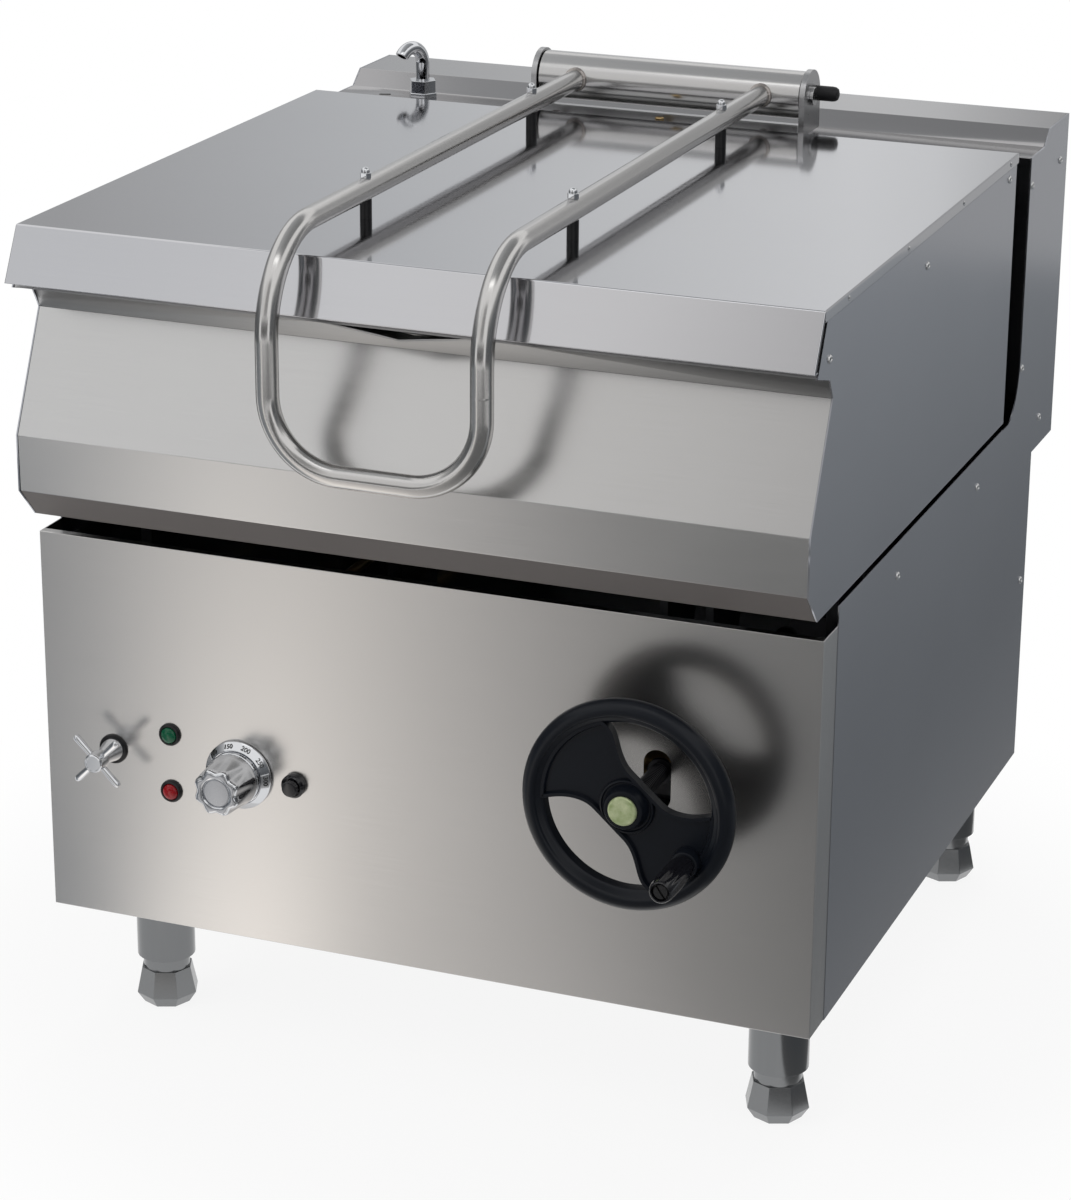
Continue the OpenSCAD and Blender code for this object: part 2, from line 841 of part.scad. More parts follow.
// A stand behind the front panel whose two ears carry the swinging block
ear_in = block_half + side_gap;
ear_out = ear_in + gear_ear_t;
module swing_stand() {
    y0 = block_d - gear_ear_w / 2 + side_gap;
    y1 = block_d + gear_ear_w / 2;
    web_top = spindle_z - gear_ear_w;
    color(dark_steel)
        placed()
            difference() {
                union() {
                    for (s = [-ear_out, ear_in])
                        block(
                            [wheel_x + s, y0, rail_top],
                            [wheel_x + s + gear_ear_t, y1, spindle_z + gear_ear_w / 2]);
                    block(
                        [wheel_x - ear_in, y1 - gear_ear_t, rail_top],
                        [wheel_x + ear_in, y1, web_top]);
                    block(
                        [wheel_x - ear_out - rail_w, y0, rail_top],
                        [wheel_x + ear_out + rail_w, y1, rail_top + gear_ear_t]);
                }
                bar_x(
                    wheel_x - ear_out - over, wheel_x + ear_out + over,
                    block_d, spindle_z, pivot_r + run_gap);
            }
}

// Rubber pads on rear posts, on which the closed pan comes to rest
pad_in = 152;
pad_ahead = 61;
pad_x = body_half - pad_in;
pad_d = pan_back_d - pad_ahead;
pad_half = rail_w / 2;
pad_h = 10;
pad_gap = 0.3;
module rest_pads() {
    color(rubber)
        placed()
            both_sides()
                translate([pad_x, pad_d, cover_low - pad_gap - pad_h])
                    cylinder(h = pad_h, r = pad_half);
}

// A cover over the terminals and contactors on the cabinet floor, open at the bottom
box_w = 180;
box_d = 110;
box_h = 140;
box_t = 3;
box_back = base_in_d - rail_w - fit_gap;
module terminal_box() {
    color(black)
        placed()
            difference() {
                block(
                    [gland_x - box_w / 2, box_back - box_d, tray_top],
                    [gland_x + box_w / 2, box_back, tray_top + box_h]);
                block(
                    [gland_x - box_w / 2 + box_t, box_back - box_d + box_t, tray_top - over],
                    [gland_x + box_w / 2 - box_t, box_back - box_t, tray_top + box_h - box_t]);
                bar_y(box_back - box_t - over, box_back + over, gland_x, gland_z, gland_r + fit_gap);
            }
}

// The gland runs through the box's wall and the back panel, with a hexagon and a cap outside
gland_af = 24;
gland_hex_l = 10;
gland_cap_r = 11;
gland_cap_l = 8;
module cable_gland() {
    inner = box_back - box_t;
    outer = base_d + gland_hex_l + gland_cap_l;
    color(black)
        placed()
            difference() {
                union() {
                    bar_y(inner, base_d, gland_x, gland_z, gland_r);
                    translate([gland_x, base_d, gland_z])
                        rotate([-90, 0, 0])
                            cylinder(h = gland_hex_l, r = hex_r(gland_af), $fn = 6);
                    bar_y(outer - gland_cap_l, outer, gland_x, gland_z, gland_cap_r);
                }
                bar_y(inner - over, outer + over, gland_x, gland_z, gland_bore_r);
            }
}

// The valve's body behind the panel and the housing of its stem in front
valve_back = 50;
valve_body_r = 15.4;
module valve_body() {
    color(bright)
        placed()
            difference() {
                union() {
                    bar_y(sheet_t + fit_gap, valve_back, -valve_x, valve_z, valve_body_r);
                    bar_y(-valve_neck_l, valve_back, -valve_x, valve_z, valve_r);
                }
                bar_y(-valve_neck_l - over, sheet_t, -valve_x, valve_z, cross_arm_r + run_gap);
            }
}

// A supply pipe from the inlet at the back to the valve, and a feed pipe from the valve to the tap
module water_pipe() {
    low = valve_z - valve_body_r - fit_gap;
    color(brass)
        placed() {
            pipe_run([
                [-valve_x, valve_back / 2, low],
                [-valve_x, valve_back / 2, inlet_z],
                [-valve_x, base_d, inlet_z]
            ], pipe_r);
            bar_y(base_d, base_d + inlet_l, -valve_x, inlet_z, inlet_r);
            pipe_run([
                [-valve_x, valve_back + fit_gap, valve_z],
                [-valve_x, ledge_d + tap_in, valve_z],
                [-tap_x, ledge_d + tap_in, valve_z + tap_af],
                [-tap_x, ledge_d + tap_in, ledge_z - tap_af]
            ], pipe_r);
        }
}

// The tap's threaded neck through the ledge, a thin nut and the main nut
thin_nut_r = 16.7;
module tap_nuts() {
    nut_z = ledge_z + thin_nut_h;
    color(bright)
        placed()
            translate([-tap_x, ledge_d + tap_in, 0])
                difference() {
                    union() {
                        translate([0, 0, ledge_z])
                            cylinder(h = thin_nut_h, r = thin_nut_r, $fn = 6);
                        translate([0, 0, nut_z])
                            cylinder(h = main_nut_h, r = hex_r(tap_af), $fn = 6);
                        translate([0, 0, ledge_z - tap_af + fit_gap])
                            cylinder(h = tap_af, r = tap_neck_r);
                    }
                    translate([0, 0, nut_z])
                        cylinder(h = main_nut_h + over, r = spout_r + run_gap);
                }
}

module tap_spout() {
    low = ledge_z + thin_nut_h + fit_gap;
    bend_z = ledge_z + thin_nut_h + main_nut_h + spout_rise;
    color(bright)
        placed()
            translate([-tap_x, ledge_d + tap_in, 0])
                rotate([0, 0, -90 - spout_turn]) {
                    difference() {
                        translate([0, 0, low])
                            cylinder(h = bend_z - low, r = spout_r);
                        translate([0, 0, low - over])
                            cylinder(h = bend_z - low + 2 * over, r = spout_bore_r);
                    }
                    translate([spout_bend_r, 0, bend_z])
                        rotate([90, 0, 0])
                            rotate([0, 0, 180 - spout_sweep])
                                rotate_extrude(angle = spout_sweep)
                                    translate([spout_bend_r, 0])
                                        difference() {
                                            circle(r = spout_r);
                                            circle(r = spout_bore_r);
                                        }
                }
}

lamp_out = 4;
lamp_back = 26;
module lamp_bezels() {
    color(black)
        placed()
            for (z = [lamp_low_z, lamp_high_z])
                difference() {
                    union() {
                        bar_y(-lamp_out, 0, -lamp_x, z, bezel_r);
                        bar_y(0, lamp_back, -lamp_x, z, lamp_neck_r);
                    }
                    bar_y(-lamp_out - over, 0, -lamp_x, z, lamp_neck_r - sheet_t);
                }
}

// A lens: a short plug with a domed face
lens_dome_share = 1.5;
module lens(z) {
    plug_r = lamp_neck_r - sheet_t - fit_gap;
    dome_r = lens_r * lens_dome_share;
    bar_y(-lamp_out, -fit_gap, -lamp_x, z, plug_r);
    intersection() {
        bar_y(-2 * lamp_out, -lamp_out, -lamp_x, z, lens_r);
        translate([-lamp_x, dome_r - lamp_out - screw_head_h, z])
            sphere(r = dome_r);
    }
}

module green_lens() {
    color(green)
        placed()
            lens(lamp_high_z);
}

module red_lens() {
    color(red)
        placed()
            lens(lamp_low_z);
}

// The thermostat behind the panel, whose shaft turns with the knob
knob_shaft_r = 3;
thermo_w = 44;
thermo_d = 34;
module thermostat() {
    color(bright)
        placed()
            difference() {
                union() {
                    block(
                        [-knob_x - thermo_w / 2, sheet_t + fit_gap, knob_z - thermo_w / 2],
                        [-knob_x + thermo_w / 2, thermo_d, knob_z + thermo_w / 2]);
                    bar_y(-screw_r, sheet_t + fit_gap, -knob_x, knob_z, shaft_hole_r);
                }
                bar_y(-screw_r - over, thermo_d / 2, -knob_x, knob_z, knob_shaft_r + run_gap);
            }
}

// The dial round the knob: a conical skirt that starts just off the panel
dial_gap = 1;
dial_edge_share = 0.25;
module knob_dial() {
    edge = dial_l * dial_edge_share;
    color(bright)
        placed()
            translate([-knob_x, -dial_gap, knob_z])
                rotate([90, 0, 0])
                    difference() {
                        union() {
                            cylinder(h = edge, r = dial_r);
                            translate([0, 0, edge])
                                cylinder(h = dial_l - edge, r1 = dial_r, r2 = knob_r + sheet_t);
                        }
                        translate([0, 0, -over])
                            cylinder(h = dial_l - sheet_t + over, r = knob_r - sheet_t);
                        translate([0, 0, -over])
                            cylinder(h = dial_l + 2 * over, r = knob_shaft_r + fit_gap);
                    }
}

// The knob: a bar with hollows cut round its edge, and the shaft that it turns
knob_straight_share = 0.8;
knob_front_share = 0.86;
hollow_share = 0.3;
hollow_out_share = 0.45;
hollow_start_share = 0.25;
knob_disc_share = 0.52;
module thermostat_knob() {
    base = dial_gap + dial_l;
    straight = knob_l * knob_straight_share;
    hollow_r = knob_r * hollow_share;
    hollow_at = knob_r + hollow_r * hollow_out_share;
    color(bright)
        placed() {
            translate([-knob_x, -base, knob_z])
                rotate([90, 0, 0])
                    difference() {
                        union() {
                            cylinder(h = straight, r = knob_r);
                            translate([0, 0, straight])
                                cylinder(h = knob_l - straight, r1 = knob_r, r2 = knob_r * knob_front_share);
                        }
                        for (k = [0 : knob_lobes - 1])
                            rotate([0, 0, (2 * k + 1) * 180 / knob_lobes])
                                translate([hollow_at, 0, knob_l * hollow_start_share])
                                    cylinder(h = knob_l, r = hollow_r);
                        translate([0, 0, knob_l - screw_r])
                            cylinder(h = screw_r + over, r = knob_r * knob_disc_share);
                    }
            bar_y(-base, thermo_d / 2 - fit_gap, -knob_x, knob_z, knob_shaft_r);
        }
}

button_back = 30;
button_collar_l = 8;
module button_housing() {
    color(black)
        placed()
            difference() {
                union() {
                    bar_y(-button_collar_l, 0, -button_x, button_z, collar_button_r);
                    bar_y(0, button_back, -button_x, button_z, button_neck_r);
                }
                bar_y(
                    -button_collar_l - over, button_back - sheet_t,
                    -button_x, button_z, button_r + run_gap);
            }
}

module push_button() {
    color(black)
        placed()
            bar_y(
                -button_collar_l - button_travel - screw_head_h, button_back / 2,
                -button_x, button_z, button_r);
}

// A cross handle: a hub on the valve's stem with four round arms
module valve_handle() {
    hub_back = -valve_neck_l - side_gap;
    hub_mid = hub_back - cross_hub_l / 2;
    color(bright)
        placed() {
            bar_y(hub_back - cross_hub_l, hub_back, -valve_x, valve_z, cross_hub_r);
            bar_y(hub_back, -screw_r, -valve_x, valve_z, cross_arm_r);
            translate([-valve_x, hub_mid, valve_z])
                rotate([0, 45, 0])
                    for (a = [0 : 90 : 270])
                        rotate([0, a, 0])
                            cylinder(h = cross_reach, r = cross_arm_r);
        }
}

// A sheet screw whose head stands on a side sheet's outer face
module side_screw(x, p, s) {
    scale([s, 1, 1]) {
        bar_x(x, x + screw_head_h, p[0], p[1], screw_head_r);
        bar_x(x - screw_l, x, p[0], p[1], screw_r);
    }
}

module panel_screws() {
    color(bright)
        placed()
            for (p = base_screws, s = [-1, 1])
                side_screw(body_half, p, s);
}

module cover_screws() {
    color(bright)
        placed()
            for (p = cover_screw_places, s = [-1, 1])
                side_screw(cover_half, p, s);
}

// The block that swings in the stand and holds the spindle between its collars
module swing_block() {
    color(brass)
        placed()
            difference() {
                union() {
                    bar_x(wheel_x - block_half, wheel_x + block_half, block_d, spindle_z, block_r);
                    bar_x(wheel_x - ear_out, wheel_x + ear_out, block_d, spindle_z, pivot_r);
                }
                bar_y(
                    block_d - block_r - over, block_d + block_r + over,
                    wheel_x, spindle_z, spindle_r + run_gap);
            }
}

// The nut on the spindle, pivoted between the ears under the pan
module spindle_nut() {
    color(brass)
        placed()
            difference() {
                union() {
                    bar_x(wheel_x - block_half, wheel_x + block_half, nut_d, spindle_z, nut_r);
                    bar_x(wheel_x - ear_out, wheel_x + ear_out, nut_d, spindle_z, pivot_r);
                }
                bar_y(
                    nut_d - nut_r - over, nut_d + nut_r + over,
                    wheel_x, spindle_z, spindle_r + run_gap);
            }
}

// The threaded spindle with its two collars and an end stop
module tilt_spindle() {
    end_d = block_d + spindle_back;
    color(bright)
        placed() {
            bar_y(-hub_front, end_d, wheel_x, spindle_z, spindle_r);
            bar_y(
                block_d - block_r - side_gap - collar_t, block_d - block_r - side_gap,
                wheel_x, spindle_z, collar_r);
            bar_y(
                block_d + block_r + side_gap, block_d + block_r + side_gap + collar_t,
                wheel_x, spindle_z, collar_r);
            bar_y(end_d - collar_t, end_d, wheel_x, spindle_z, collar_r);
        }
}

// The handwheel: a round rim, one wide web with hollow sides, a hub and the grip's boss
web_turn = 42;
grip_angle = -37;
module handwheel() {
    rim_mid = wheel_r - rim_r;
    color(black)
        placed()
            translate([wheel_x, -wheel_out, spindle_z])
                rotate([90, 0, 0])
                    difference() {
                        union() {
                            rotate_extrude()
                                translate([rim_mid, 0])
                                    circle(r = rim_r);
                            translate([0, 0, -hub_l / 2])
                                cylinder(h = hub_l, r = hub_r);
                            translate([0, 0, -web_t / 2])
                                linear_extrude(web_t)
                                    rotate(-web_turn)
                                        difference() {
                                            circle(r = rim_mid);
                                            for (s = [-1, 1])
                                                translate([0, s * (web_half + web_curve_r)])
                                                    circle(r = web_curve_r);
                                        }
                            rotate([0, 0, grip_angle])
                                translate([grip_at, 0, -boss_l / 2])
                                    cylinder(h = boss_l + boss_l / 2, r = grip_r);
                        }
                        translate([0, 0, -hub_l])
                            cylinder(h = 2 * hub_l, r = spindle_r + fit_gap / 4);
                        rotate([0, 0, grip_angle])
                            translate([grip_at, 0, -boss_l])
                                cylinder(h = 3 * boss_l, r = grip_pin_r + fit_gap / 4);
                    }
}

module hub_cap() {
    color(zinc)
        placed()
            bar_y(-hub_front - cap_t, -hub_front, wheel_x, spindle_z, cap_r);
}

// Places a piece on the grip's axis, with +Z pointing forward from the rim's plane
module on_grip() {
    placed()
        translate([wheel_x, -wheel_out, spindle_z])
            rotate([90, 0, 0])
                rotate([0, 0, grip_angle])
                    translate([grip_at, 0, 0])
                        children();
}

grip_head_r = 7.2;
module grip_bolt() {
    color(bright)
        on_grip() {
            translate([0, 0, -boss_l / 2])
                cylinder(h = boss_l / 2 + boss_l + grip_l - screw_head_h, r = grip_pin_r);
            translate([0, 0, -boss_l / 2 - screw_head_h])
                cylinder(h = screw_head_h, r = grip_head_r);
        }
}

module wheel_grip() {
    color(black)
        on_grip()
            difference() {
                translate([0, 0, boss_l + fit_gap * 2])
                    cylinder(h = grip_l - fit_gap * 2, r = grip_r);
                translate([0, 0, boss_l])
                    cylinder(h = grip_l - screw_head_h + fit_gap, r = grip_pin_r + run_gap);
            }
}

// The front wall, nose and throat of the rim in front of the tub, as depth and height
tub_lip_d = casing_top_d + casing_fold_d / 2;
rim_front_share = 0.62;
rim_front = lid_out * rim_front_share;
module pan_tub() {
    in_x = tub_w / 2;
    out_x = in_x + tub_t;
    low_z = tub_floor_z - tub_floor_t;
    flange_half = casing_half - fit_gap;
    flange_back = pan_back_d - sheet_t - fit_gap;
    color(steel)
        placed()
            difference() {
                union() {
                    side_sheet(-out_x, 2 * out_x, [
                        [tub_front_d - tub_t, low_z], [tub_back_d + tub_t, low_z],
                        [tub_back_d + tub_t, rim_z], [tub_lip_d - tub_t, rim_z]
                    ]);
                    block([-flange_half, tub_lip_d, rim_z - rim_t], [flange_half, flange_back, rim_z]);
                    rim_sheet(flange_half);
                }
                side_sheet(-in_x, tub_w, [
                    [tub_front_d, tub_floor_z], [tub_back_d, tub_floor_z],
                    [tub_back_d, rim_z + over], [tub_lip_d, rim_z + over], [tub_lip_d, rim_z - rim_t]
                ]);
                pouring_notch();
            }
}

// The folded sheet from the tub's front wall over the nose and back down the throat
module rim_sheet(half) {
    side_sheet(-half, 2 * half, [
        [tub_lip_d, rim_z], [-rim_front, rim_z], [-nose_out, nose_z],
        [sheet_t, throat_z], [casing_top_d, casing_top_z], [casing_top_d + rim_t, casing_top_z],
        [sheet_t + rim_t, throat_z + rim_t], [rim_t * 2 - nose_out, nose_z + rim_t],
        [rim_t - rim_front, rim_z - rim_t], [tub_lip_d, rim_z - rim_t]
    ]);
    both_sides()
        pouring_lip();
}

// The pouring lip: a shallow V under the nose, open at the top
module pouring_lip() {
    lip_z = nose_z - spout_drop;
    hull() {
        link([spout_half_w, -nose_out + rim_t, nose_z], [0, -nose_out + rim_t, lip_z + rim_t], rim_t / 2);
        link([spout_half_w, rim_t, throat_z + rim_t], [0, rim_t, throat_z - spout_drop / 2], rim_t / 2);
    }
}

// The way out of the tub, cut through the rim's front
notch_drop = 12;
notch_floor_share = 0.5;
module pouring_notch() {
    notch_low = rim_z - notch_drop;
    hull()
        both_sides() {
            block(
                [0, -nose_out - over, notch_low],
                [spout_half_w * notch_floor_share, tub_lip_d + tub_t, notch_low + rim_t]);
            block(
                [0, -nose_out - over, rim_z + over],
                [spout_half_w, tub_lip_d + tub_t, rim_z + over + rim_t]);
        }
}

// The folded front casing below the rim
module front_casing() {
    half = casing_half - fit_gap;
    t = sheet_t;
    color(steel)
        placed()
            side_sheet(-half, 2 * half, [
                [casing_top_d, casing_top_z - fit_gap], [-casing_out, bend_high_z],
                [-casing_out, bend_low_z], [-casing_foot_out, cover_low - t],
                [casing_fold_d, cover_low - t], [casing_fold_d, cover_low],
                [t / 2 - casing_foot_out, cover_low], [t - casing_out, bend_low_z + t / 2],
                [t - casing_out, bend_high_z - t / 3], [casing_top_d + t, casing_top_z - fit_gap]
            ]);
}

// One side cover follows the rim's nose and the casing's folds, with screw holes
module side_cover(x) {
    difference() {
        side_sheet(x, sheet_t, [
            [-rim_front, cover_top], [-nose_out - sheet_t, nose_z], [0, throat_z - sheet_t],
            [casing_top_d, casing_top_z], [-casing_out - sheet_t / 2, bend_high_z],
            [-casing_out - sheet_t / 2, bend_low_z], [-casing_foot_out, cover_low - sheet_t],
            [pan_back_d, cover_low - sheet_t], [pan_back_d, cover_top]
        ]);
        for (p = cover_screw_places)
            bar_x(x - over, x + sheet_t + over, p[0], p[1], screw_r + fit_gap);
    }
}

module side_cover_right() {
    color(dark_steel)
        placed()
            side_cover(casing_half);
}

module side_cover_left() {
    color(dark_steel)
        placed()
            side_cover(-cover_half);
}

module rear_casing() {
    half = casing_half - fit_gap;
    color(dark_steel)
        placed() {
            block([-half, pan_back_d - sheet_t, cover_low], [half, pan_back_d, cover_top]);
            block(
                [-half, pan_back_d - casing_fold_d, cover_low],
                [half, pan_back_d - sheet_t, cover_low + sheet_t]);
        }
}

// The plate that closes the pan from below, narrower than the tub so that the brackets pass
module bottom_casing() {
    half = tub_w / 2 + tub_t;
    color(dark_steel)
        placed()
            block(
                [-half, casing_fold_d + fit_gap, cover_low],
                [half, pan_back_d - casing_fold_d - fit_gap, cover_low + sheet_t]);
}

// Flat heating rods under the tub, in loops from front to back
rod_r = 4;
rod_loops = 6;
module heating_elements() {
    z = tub_floor_z - tub_floor_t - rod_r - fit_gap;
    pitch = tub_w / (rod_loops + 1);
    y0 = tub_front_d + casing_fold_d;
    y1 = tub_back_d - casing_fold_d;
    color(dark_steel)
        placed()
            for (k = [0 : rod_loops - 1])
                translate([(k - (rod_loops - 1) / 2) * pitch, 0, 0])
                    pipe_run([
                        [-pitch / 4, y0, z], [-pitch / 4, y1, z],
                        [pitch / 4, y1, z], [pitch / 4, y0, z]
                    ], rod_r);
}

// The tilting pins on square plates that are welded to the tub's sides
pin_plate_t = 8;
pin_plate_half = 24;
pin_plate_front = 4.8;
pin_plate_back = 72;
module pivot_pins() {
    x0 = tub_w / 2 + tub_t;
    x1 = bracket_x + bracket_t + side_gap;
    color(bright)
        placed()
            both_sides() {
                block(
                    [x0, tilt_d + pin_plate_front, tilt_z - pin_plate_half],
                    [x0 + pin_plate_t, tilt_d + pin_plate_back, tilt_z + pin_plate_half]);
                bar_x(x0, x0 + pin_plate_t, tilt_d, tilt_z, pin_plate_half);
                bar_x(x0, x1, tilt_d, tilt_z, pin_r);
            }
}

// Ears that hang under the pan and carry the spindle's nut
module nut_ears() {
    top = cover_low;
    color(dark_steel)
        placed()
            difference() {
                union() {
                    for (s = [-ear_out, ear_in])
                        side_sheet(wheel_x + s, gear_ear_t, [
                            [nut_d - gear_ear_w / 2, spindle_z - gear_ear_w / 2],
                            [nut_d + gear_ear_w / 2, spindle_z - gear_ear_w / 2],
                            [nut_d + gear_ear_w * 2, top], [nut_d - gear_ear_w / 2, top]
                        ]);
                    block(
                        [wheel_x - ear_out - rail_w, nut_d - gear_ear_w / 2, top - gear_ear_t],
                        [wheel_x + ear_out + rail_w, nut_d + gear_ear_w * 2, top]);
                }
                bar_x(
                    wheel_x - ear_out - over, wheel_x + ear_out + over,
                    nut_d, spindle_z, pivot_r + run_gap);
            }
}

// The hinge bracket: a folded bar on the pan's back and two end plates with round tops
plate_in = hinge_half + hinge_gap;
plate_out = plate_in + ear_t;
shelf_z = cover_top + fit_gap;
bracket_lap = 12;
module hinge_bracket() {
    foot_z = shelf_z + bar_t;
    lip_d = pan_back_d - bracket_lap;
    color(bright)
        placed()
            difference() {
                union() {
                    block([-plate_out, lip_d, shelf_z], [plate_out, hinge_d + ear_r / 2, foot_z]);
                    block([-plate_in, bar_d, shelf_z], [plate_in, bar_d + bar_t, bar_top_z]);
                    for (s = [-plate_out, plate_in])
                        hinge_plate(s);
                }
                for (x = [-hinge_bolt_x, 0, hinge_bolt_x])
                    translate([x, bolt_d, shelf_z - over])
                        cylinder(h = bar_t + 2 * over, r = hinge_bolt_r + fit_gap);
                bar_x(-plate_out - over, plate_out + over, hinge_d, hinge_z, hinge_pin_r + fit_gap / 2);
            }
}
bolt_d = (lid_back_d + bar_d) / 2;

// A hinge end plate with a round top and straight sides
module hinge_plate(x) {
    bar_x(x, x + ear_t, hinge_d, hinge_z, ear_r);
    block([x, hinge_d - ear_r, shelf_z], [x + ear_t, hinge_d + ear_r, hinge_z]);
}

// A hexagon bolt that holds the hinge bar to the pan's back
hinge_bolt_r = 3;
hinge_bolt_af = 9;
hinge_bolt_h = 4.8;
middle_bolt_h = 8;
module hinge_bolt(x, head_h) {
    top = shelf_z + bar_t;
    translate([x, bolt_d, 0]) {
        translate([0, 0, top])
            cylinder(h = head_h, r = hex_r(hinge_bolt_af), $fn = 6);
        translate([0, 0, shelf_z - bar_t])
            cylinder(h = top - shelf_z + bar_t, r = hinge_bolt_r);
    }
}

// Three bolts, of which the middle one is taller
module hinge_bolts() {
    color(bright)
        placed() {
            hinge_bolt(-hinge_bolt_x, hinge_bolt_h);
            hinge_bolt(0, middle_bolt_h);
            hinge_bolt(hinge_bolt_x, hinge_bolt_h);
        }
}

module hinge_pins() {
    color(bright)
        placed()
            both_sides() {
                bar_x(plate_in - hinge_pin_l, plate_out, hinge_d, hinge_z, hinge_pin_r);
                bar_x(plate_out, plate_out + hinge_head_t, hinge_d, hinge_z, hinge_head_r);
            }
}

// A round rubber buffer on the right end plate, on which the open lid comes to rest
module hinge_buffer() {
    color(rubber)
        placed()
            bar_x(
                plate_out, plate_out + buffer_l,
                hinge_d + hinge_head_r + buffer_r + fit_gap, hinge_z, buffer_r);
}

// The lid: a flat top, a sloped front skirt with a folded edge, side hems and a rear hem
rear_hem_share = 0.6;
module lid_shell() {
    half = lid_w / 2;
    t = sheet_t;
    fold_z = skirt_low_z + t;
    color(steel)
        placed() {
            side_sheet(-half, lid_w, [
                [lid_back_d, lid_z], [-lid_out, lid_z], [-skirt_out, skirt_low_z],
                [skirt_fold_w - skirt_out, skirt_low_z], [skirt_fold_w - skirt_out, fold_z],
                [t * 2 - skirt_out, fold_z], [t - lid_out, lid_z - t], [lid_back_d, lid_z - t]
            ]);
            both_sides()
                block([half - t, -lid_out, lid_z - hem_h], [half, lid_back_d, lid_z - t]);
            block(
                [-half, lid_back_d - t, lid_z - hem_h * rear_hem_share],
                [half, lid_back_d, lid_z - t]);
        }
}

// The hinge tube with a bored plug at each end
module hinge_tube() {
    plug_l = hinge_pin_l - hinge_gap;
    color(bright)
        placed()
            difference() {
                bar_x(-hinge_half, hinge_half, hinge_d, hinge_z, hinge_r);
                bar_x(plug_l - hinge_half, hinge_half - plug_l, hinge_d, hinge_z, hinge_r - hinge_t);
                bar_x(-hinge_half - over, hinge_half + over, hinge_d, hinge_z, hinge_pin_r + run_gap);
            }
}

// The handle's path as solid bars and bends of one radius
module handle_path(r) {
    bend_d = arm_bend_r - handle_out;
    leg_top = arm_z - arm_bend_r;
    leg_end = handle_low_z + foot_bend_r;
    both_sides() {
        bar_y(bend_d, hinge_d, arm_x, arm_z, r);
        translate([arm_x, bend_d, leg_top])
            rotate([90, 0, -90])
                quarter(arm_bend_r, r);
        translate([arm_x, -handle_out, leg_end])
            cylinder(h = leg_top - leg_end, r = r);
        translate([arm_x - foot_bend_r, -handle_out, leg_end])
            rotate([-90, 0, 0])
                quarter(foot_bend_r, r);
    }
    bar_x(foot_bend_r - arm_x, arm_x - foot_bend_r, -handle_out, handle_low_z, r);
}

// A quarter bend in the X-Y plane, from +X round to +Y
module quarter(bend, r) {
    rotate_extrude(angle = 90)
        translate([bend, 0])
            circle(r = r);
}

module lid_handle() {
    color(bright)
        placed()
            difference() {
                handle_path(handle_r);
                handle_path(handle_r - handle_t);
                bar_x(-hinge_half, hinge_half, hinge_d, hinge_z, hinge_r + fit_gap / 4);
            }
}

post_reach = 30;
post_places = [
    [-arm_x, post_front_d], [arm_x, post_front_d], [-arm_x, post_back_d], [arm_x, post_back_d]
];
module post_sleeves() {
    color(black)
        placed()
            difference() {
                for (p = post_places)
                    translate([p[0], p[1], lid_z])
                        cylinder(h = arm_z - lid_z, r = sleeve_r);
                both_sides()
                    bar_y(
                        post_front_d - post_reach, post_back_d + post_reach,
                        arm_x, arm_z, handle_r + fit_gap / 4);
            }
}

// A dome nut on top of each handle arm, over a post
dome_share = 0.42;
module dome_nuts() {
    seat = arm_z + handle_r - handle_t / 2;
    hex_h = dome_h / 2;
    dome_r = dome_af * dome_share;
    color(bright)
        placed()
            difference() {
                for (p = post_places)
                    translate([p[0], p[1], seat]) {
                        cylinder(h = hex_h, r = hex_r(dome_af), $fn = 6);
                        translate([0, 0, hex_h])
                            cylinder(h = dome_h - dome_r - hex_h, r = dome_r);
                        translate([0, 0, dome_h - dome_r])
                            sphere(r = dome_r);
                    }
                both_sides()
                    bar_y(
                        post_front_d - post_reach, post_back_d + post_reach,
                        arm_x, arm_z, handle_r + fit_gap / 4);
            }
}

base_frame();
side_panel_left();
side_panel_right();
front_panel();
back_panel();
floor_tray();
column_cover();
column_back();
leg_tubes();
pivot_brackets();
pivot_bushes();
swing_stand();
rest_pads();
terminal_box();
cable_gland();
water_pipe();
valve_body();
tap_nuts();
lamp_bezels();
green_lens();
red_lens();
thermostat();
button_housing();
panel_screws();
swing_block();
tilt_spindle();
handwheel();
hub_cap();
grip_bolt();
wheel_grip();
spindle_nut();
pan_tub();
front_casing();
side_cover_left();
side_cover_right();
rear_casing();
bottom_casing();
heating_elements();
pivot_pins();
nut_ears();
hinge_bracket();
hinge_bolts();
hinge_pins();
hinge_buffer();
cover_screws();
lid_shell();
hinge_tube();
lid_handle();
post_sleeves();
dome_nuts();
valve_handle();
tap_spout();
knob_dial();
thermostat_knob();
push_button();
foot_front_left();
foot_front_right();
foot_back_left();
foot_back_right();
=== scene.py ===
# %% [markdown]
# A tilting bratt pan is a shallow steel pan for frying and braising in a big kitchen. It stands on
# a steel cabinet, and a handwheel tips it forward to pour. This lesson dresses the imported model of
# one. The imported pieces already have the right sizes, so the folded sheets only get rounded edges
# and a finish. The handwheel, the controls, the tubes and other small parts are modelled again in
# detail.

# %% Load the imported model
import json
import math
import bmesh
import bpy
from mathutils import Matrix, Vector


